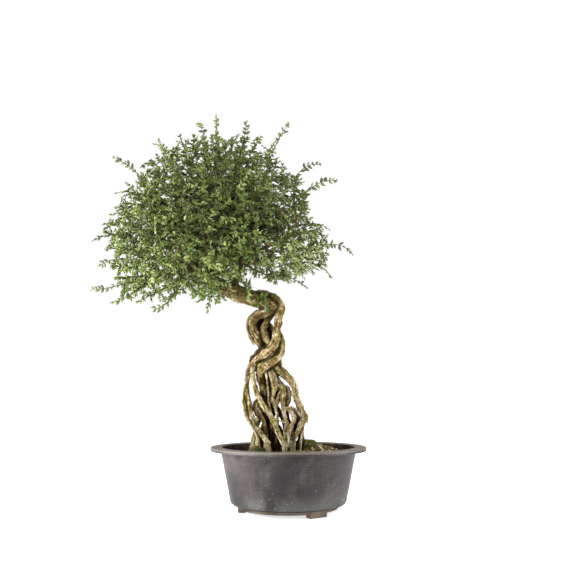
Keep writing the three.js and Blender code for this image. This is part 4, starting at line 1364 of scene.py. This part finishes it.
def limb_sprigs(bark, leaf):
    """A few leaves that sprout straight from the limb and the elbow."""
    sprigs = Foliage(leaf_template(), 77)
    for sprig in SPRIGS:
        start, end = placed([sprig["at"], sprig["to"]])
        away = end - start
        route = curve_between(start - away * 0.3, away, end, away + (0, 0, 4 * MM), SPRIG["points"])
        line = tapered(route, SPRIG["base"], SPRIG["tip"])
        sprigs.twig(line, SPRIG["sides"])
        sprigs.leafy(line, SPRIG["bare"], SPRIG["size"], SPRIG["fresh"])
    return sprigs.piece("limb_sprigs", [bark, leaf])


def arc(centre, radius, start, end, steps):
    """Points of an arc in the profile's plane, angles in degrees."""
    turns = [math.radians(start + (end - start) * i / steps) for i in range(steps + 1)]
    return [(centre[0] + radius * math.cos(t), centre[1] + radius * math.sin(t)) for t in turns]


def pot_profile():
    """Outside of the wall from the middle of the floor, over the rim and back inside."""
    ring_in, ring_out, ring_low = BASE_RING["inside"], BASE_RING["outside"], BASE_RING["bottom"]
    flange_low = RIM_TOP - FLANGE_THICKNESS
    lip_in, lip_low = RIM_RADIUS - LIP_THICKNESS, RIM_TOP - LIP_DEPTH
    corner_top = WALL_FOOT_RADIUS + WALL_SLOPE * CORNER
    inside_top = WALL_TOP_RADIUS - WALL
    return [
        (0, BODY_BOTTOM), (ring_in - 1, BODY_BOTTOM), (ring_in, BODY_BOTTOM - 1),
        (ring_in, ring_low + 0.8), (ring_in + 0.8, ring_low), (ring_out - 0.8, ring_low),
        (ring_out, ring_low + 0.8), (ring_out, BODY_BOTTOM - 1), (ring_out + 1, BODY_BOTTOM),
        *arc((corner_top - CORNER, BODY_BOTTOM + CORNER), CORNER, -90, 0, 8),
        (WALL_TOP_RADIUS - WALL_SLOPE * 6, flange_low - 6), (WALL_TOP_RADIUS + 0.5, flange_low - 1),
        (WALL_TOP_RADIUS + 1.5, flange_low), (lip_in - 1, flange_low), (lip_in, flange_low - 1),
        (lip_in, lip_low + 0.5), (lip_in + 0.6, lip_low), (RIM_RADIUS - 0.6, lip_low),
        (RIM_RADIUS, lip_low + 0.6),
        *arc((RIM_RADIUS - LIP_ROUND, RIM_TOP - LIP_ROUND), LIP_ROUND, 0, 90, 6),
        (inside_top + 2, RIM_TOP),
        *arc((inside_top + 1, RIM_TOP - 1.5), 1.5, 90, 180, 4)[1:],
        (corner_top - WALL, FLOOR_TOP + CORNER),
        *arc((corner_top - WALL - CORNER, FLOOR_TOP + CORNER), CORNER, 0, -90, 6)[1:],
        (0, FLOOR_TOP),
    ]


def turned(name, profile, steps, material):
    """A piece whose profile is turned round the pot's axis."""
    bm = bmesh.new()
    verts = [bm.verts.new((AXIS.x + x * MM, AXIS.y, z * MM)) for x, z in profile]
    edges = [bm.edges.new(pair) for pair in zip(verts, verts[1:])]
    bmesh.ops.spin(
        bm, geom=verts + edges, cent=AXIS, axis=UP, angle=2 * math.pi, steps=steps, use_merge=True
    )
    bmesh.ops.remove_doubles(bm, verts=bm.verts, dist=1e-6)
    bmesh.ops.recalc_face_normals(bm, faces=bm.faces)
    return new_piece(name, bm, [material])


def pot(plastic):
    """The moulded pot with its ring and drain holes."""
    shell = turned("pot_shell", pot_profile(), POT_STEPS, plastic)
    holes = bmesh.new()
    radius = DRAIN["radius"] * MM
    for i in range(DRAIN["count"]):
        heading = 2 * math.pi * i / DRAIN["count"]
        centre = AXIS + Vector((math.cos(heading), math.sin(heading), 0)) * DRAIN["circle"] * MM
        centre.z = (BODY_BOTTOM + WALL / 2) * MM
        bmesh.ops.create_cone(
            holes, cap_ends=True, segments=DRAIN["sides"], radius1=radius, radius2=radius,
            depth=4 * WALL * MM, matrix=Matrix.Translation(centre),
        )
    cutter = new_piece("drain_cutter", holes, [plastic])
    apply_modifier(shell, "BOOLEAN", operation="DIFFERENCE", object=cutter, solver="EXACT")
    bpy.data.objects.remove(cutter)
    shell.data.shade_smooth()
    shell.data.set_sharp_from_angle(angle=math.radians(32))
    return shell


def pot_feet(plastic):
    """Moulded blocks under the base ring."""
    bm = bmesh.new()
    height = BODY_BOTTOM + WALL / 2
    for i in range(FOOT["count"]):
        heading = math.radians(FOOT["first"] + 360 * i / FOOT["count"])
        size = Matrix.Diagonal((FOOT["depth"] * MM, FOOT["width"] * MM, height * MM, 1))
        place = Matrix.Translation((FOOT["radius"] * MM, 0, height / 2 * MM))
        turn = Matrix.Translation(AXIS) @ Matrix.Rotation(heading, 4, "Z")
        bmesh.ops.create_cube(bm, size=1, matrix=turn @ place @ size)
    bmesh.ops.bevel(
        bm, geom=bm.verts[:] + bm.edges[:], offset=FOOT["round"] * MM, segments=3, profile=0.5,
        affect="EDGES", material=-1,
    )
    low = min(vert.co.z for vert in bm.verts)
    bmesh.ops.translate(bm, verts=bm.verts, vec=(0, 0, -low))
    piece = new_piece("pot_feet", bm, [plastic])
    piece.data.set_sharp_from_angle(angle=math.radians(40))
    return piece


def soil_height(x, y):
    """The soil's height over a place, all in millimetres from the pot's axis."""
    ripple = RIPPLE["height"] * np.sin(x / RIPPLE["along_x"]) * np.cos(y / RIPPLE["along_y"])
    height = SOIL_EDGE + ripple
    for heap in HEAPS:
        away = np.hypot(x - heap["x"], y - heap["y"]) / heap["spread"]
        height = height + heap["height"] * np.exp(-away * away)
    return height


def inner_wall(z):
    """The pot wall's inner radius at a height, in millimetres."""
    return WALL_FOOT_RADIUS + WALL_SLOPE * (z - BODY_BOTTOM) - WALL


def soil_edge_share(radius):
    """1 inside the soil's heaps, falling to 0 at the wall."""
    return np.clip((inner_wall(SOIL_EDGE) - 2 - radius) / 18, 0, 1)


def ground(x, y):
    """The height of the finished soil surface, in millimetres."""
    share = soil_edge_share(np.hypot(x, y))
    return SOIL_EDGE + (soil_height(x, y) - SOIL_EDGE) * share


def soil(earth):
    """The fill of the pot, with a lumpy top."""
    rng = np.random.default_rng(3)
    edge = inner_wall(SOIL_EDGE) - 0.6
    profile = [
        (0, FLOOR_TOP + 0.3), (WALL_FOOT_RADIUS - WALL - CORNER, FLOOR_TOP + 0.3),
        (inner_wall(FLOOR_TOP + CORNER) - 1.2, FLOOR_TOP + CORNER), (edge, SOIL_EDGE - 1),
        *[(edge * (1 - i / SOIL_RINGS), SOIL_EDGE) for i in range(1, SOIL_RINGS + 1)],
    ]
    piece = turned("soil_bed", profile, SOIL_STEPS, earth)
    places = coordinates(piece.data)
    top = places[:, 2] > (SOIL_EDGE - 0.5) * MM
    x = (places[:, 0] - AXIS.x) / MM
    y = (places[:, 1] - AXIS.y) / MM
    level = np.column_stack([x, y, 0 * x])
    lumps = Waves(rng, 11, 16).at(level) * 0.8
    lumps += Waves(rng, 4.5, 20).at(level) * 0.7
    places[top, 2] = (ground(x, y) + lumps * (0.4 + soil_edge_share(np.hypot(x, y))))[top] * MM
    move_points(piece.data, places)
    growth = np.clip((x + 10) / 50, 0, 1) * np.clip((ground(x, y) - 104) / 8, 0, 1)
    set_attribute(piece.data, "growth", "FLOAT", growth)
    return piece


def mud_and_shade(material):
    """A film of dried mud, partly painted shade, on the inner wall from the soil up to the rim."""
    low, high = SOIL_EDGE - MUD_AND_SHADE["into_soil"], RIM_TOP - MUD_AND_SHADE["below_rim"]
    ring = [(inner_wall(low), low), (inner_wall(high), high)]
    ring += [(radius - MUD_AND_SHADE["thick"], z) for radius, z in reversed(ring)]
    return turned("mud_and_shade_film", ring + ring[:1], POT_STEPS, material)


def on_ground(draw, spread):
    """A random place on the soil, in millimetres from the pot's axis."""
    radius = spread * math.sqrt(draw.random())
    heading = draw.uniform(0, 2 * math.pi)
    x, y = radius * math.cos(heading), radius * math.sin(heading)
    return x, y, float(ground(np.array(x), np.array(y)))


def soil_crumbs(material):
    """Loose crumbs and grit on the soil."""
    draw = random.Random(19)
    bm = bmesh.new()
    bmesh.ops.create_icosphere(bm, subdivisions=1, radius=1)
    crumbs = Scatter(mesh_of("crumb_template", bm))
    for _ in range(CRUMBS["count"]):
        x, y, z = on_ground(draw, inner_wall(SOIL_EDGE) - 5)
        size = draw.uniform(CRUMBS["smallest"], CRUMBS["largest"]) * draw.uniform(0.5, 1)
        shape = Matrix.Diagonal([size * MM * draw.uniform(0.7, 1.3) for _ in range(3)] + [1])
        turn = Matrix.Rotation(draw.uniform(0, 6.28), 4, Vector((draw.random(), draw.random(), 1)))
        place = Matrix.Translation(in_frame((x, y, z + size * 0.25)))
        crumbs.add(place @ turn @ shape, progress(draw.gauss(0.6, 0.36)))
    return new_piece("soil_crumbs", crumbs.mesh("tone", "FLOAT"), [material], smooth=False)


class Moss(Scatter):
    """Pointed moss leaflets."""

    def __init__(self):
        bm = bmesh.new()
        lift = bm.verts.layers.float.new("lift")
        place = Matrix.Translation((0, 0, 0.5))
        bmesh.ops.create_cone(
            bm, cap_ends=True, segments=3, radius1=1, radius2=0, depth=1, matrix=place
        )
        bmesh.ops.remove_doubles(bm, verts=bm.verts, dist=1e-4)
        for vert in bm.verts:
            vert[lift] = 1.0 if vert.co.z > 0.5 else 0.25
        super().__init__(mesh_of("tuft_template", bm))

    def tuft(self, base, heading, length, draw):
        heading = Vector(heading).normalized()
        turn = UP.rotation_difference(heading).to_matrix().to_4x4()
        width = length * draw.uniform(0.16, 0.26)
        shape = Matrix.Diagonal((width, width, length, 1))
        self.add(Matrix.Translation(base) @ turn @ shape, draw.random())


def moss_cushion(name, cushion, material):
    """A soft cushion under a pile of small leaflets."""
    draw = random.Random(len(name) + cushion["tufts"])
    rng = np.random.default_rng(len(name))
    bm = bmesh.new()
    lift = bm.verts.layers.float.new("lift")
    centre = Vector(in_frame(cushion["at"]))
    half = Vector(cushion["size"]) * MM
    shape = Matrix.Translation(centre) @ Matrix.Diagonal((*half, 1))
    bmesh.ops.create_icosphere(bm, subdivisions=5, radius=0.93, matrix=shape)
    bulges = Waves(rng, 9 * MM, 14)
    for vert in bm.verts:
        vert.co += (vert.co - centre) * BULGE * bulges.at(np.array(vert.co))
        vert[lift] = 0.1
    leaflets = Moss()
    for _ in range(cushion["tufts"]):
        out = Vector((draw.gauss(0, 1), draw.gauss(0, 1), abs(draw.gauss(0, 1)))).normalized()
        base = centre + Vector([a * b for a, b in zip(out, half)]) * 0.9
        base += (base - centre) * BULGE * float(bulges.at(np.array(base)))
        normal = Vector([a / b for a, b in zip(out, half)]).normalized()
        heading = normal + Vector((draw.gauss(0, 0.4), draw.gauss(0, 0.4), draw.gauss(0.2, 0.3)))
        leaflets.tuft(base, heading, draw.uniform(1.6, 3) * MM, draw)
    bm.from_mesh(leaflets.mesh("shade", "FLOAT"))
    return new_piece(name + "_cushion", bm, [material])


def moss_film(material):
    """Low moss that grows over the heap at the right and round the roots."""
    draw = random.Random(41)
    patches = Waves(np.random.default_rng(8), 26, 12)
    leaflets = Moss()
    while len(leaflets.values) < MOSS_FILM["count"]:
        x, y, z = on_ground(draw, inner_wall(SOIL_EDGE) - 8)
        wanted = 0.5 + 0.8 * float(patches.at(np.array([x, y, 0]))) + (x - 10) / 120
        if draw.random() > wanted:
            continue
        heading = Vector((draw.gauss(0, 0.5), draw.gauss(0, 0.5), 1))
        length = MOSS_FILM["height"] * draw.uniform(0.5, 1.2) * MM
        leaflets.tuft(in_frame((x, y, z)), heading, length, draw)
    return new_piece("moss_film", leaflets.mesh("shade", "FLOAT"), [material])


def white_room():
    """White surroundings that look evenly white, and light the plant mostly from behind."""
    s = Shader(bpy.data.worlds.new("white_room"))
    depth = s.parts(s.node("TexCoord", output="Generated"))[1]
    span = ROOM_LIGHT["from"], ROOM_LIGHT["to"], ROOM_LIGHT["front"], ROOM_LIGHT["behind"]
    seen = s.node("LightPath", output="Is Camera Ray")
    strength = s.node("MapRange", inputs={"Value": seen, "To Min": s.step(depth, *span)})
    return s.finish("Background", "OutputWorld", Color=(1, 1, 1, 1), Strength=strength)


def studio():
    """Pale floor, soft boxes, white surroundings and the camera."""
    scene = bpy.context.scene
    scene.view_settings.view_transform = "Standard"
    bm = bmesh.new()
    bmesh.ops.create_grid(bm, x_segments=1, y_segments=1, size=FLOOR_SIZE / 2)
    new_piece("studio_floor", bm, [floor_material()], smooth=False)
    aim = Vector(in_frame(AIM))
    for name, box in SOFT_BOXES.items():
        light = bpy.data.lights.new(name, "AREA")
        light.shape = "SQUARE"
        light.size = box["size"] * MM
        light.energy = box["power"]
        lamp = bpy.data.objects.new(name, light)
        lamp.location = in_frame(box["at"])
        lamp.rotation_euler = (aim - lamp.location).to_track_quat("-Z", "Y").to_euler()
        scene.collection.objects.link(lamp)
    scene.world = white_room()
    lens = bpy.data.cameras.new("camera")
    lens.lens = CAMERA["lens"]
    lens.sensor_width = CAMERA["sensor"]
    camera = bpy.data.objects.new("camera", lens)
    camera.location = in_frame(CAMERA["at"])
    camera.rotation_euler = (math.radians(90 + CAMERA["pitch"]), 0, 0)
    scene.collection.objects.link(camera)
    scene.camera = camera


def stands_for(piece, node):
    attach(piece, "root")
    if node:
        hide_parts(node)


studio()
bark = bark_material()
twig_bark = twig_material()
leaf = leaf_material()
plastic = pot_material()
moss = moss_material()

stands_for(roots_and_trunk(bark), "roots_trunk_and_branches")
branch_lines = leafy_shoots(twig_bark, leaf)
stands_for(crown_branches(branch_lines, twig_bark), "roots_trunk_and_branches")
stands_for(limb_sprigs(twig_bark, leaf), None)
stands_for(pot(plastic), "pot")
stands_for(pot_feet(plastic), "pot")
stands_for(soil(soil_material()), "soil")
stands_for(soil_crumbs(crumb_material()), "soil")
stands_for(mud_and_shade(mud_and_shade_material()), None)
for name, cushion in MOSS.items():
    stands_for(moss_cushion(name, cushion, moss), name)
stands_for(moss_film(moss), None)
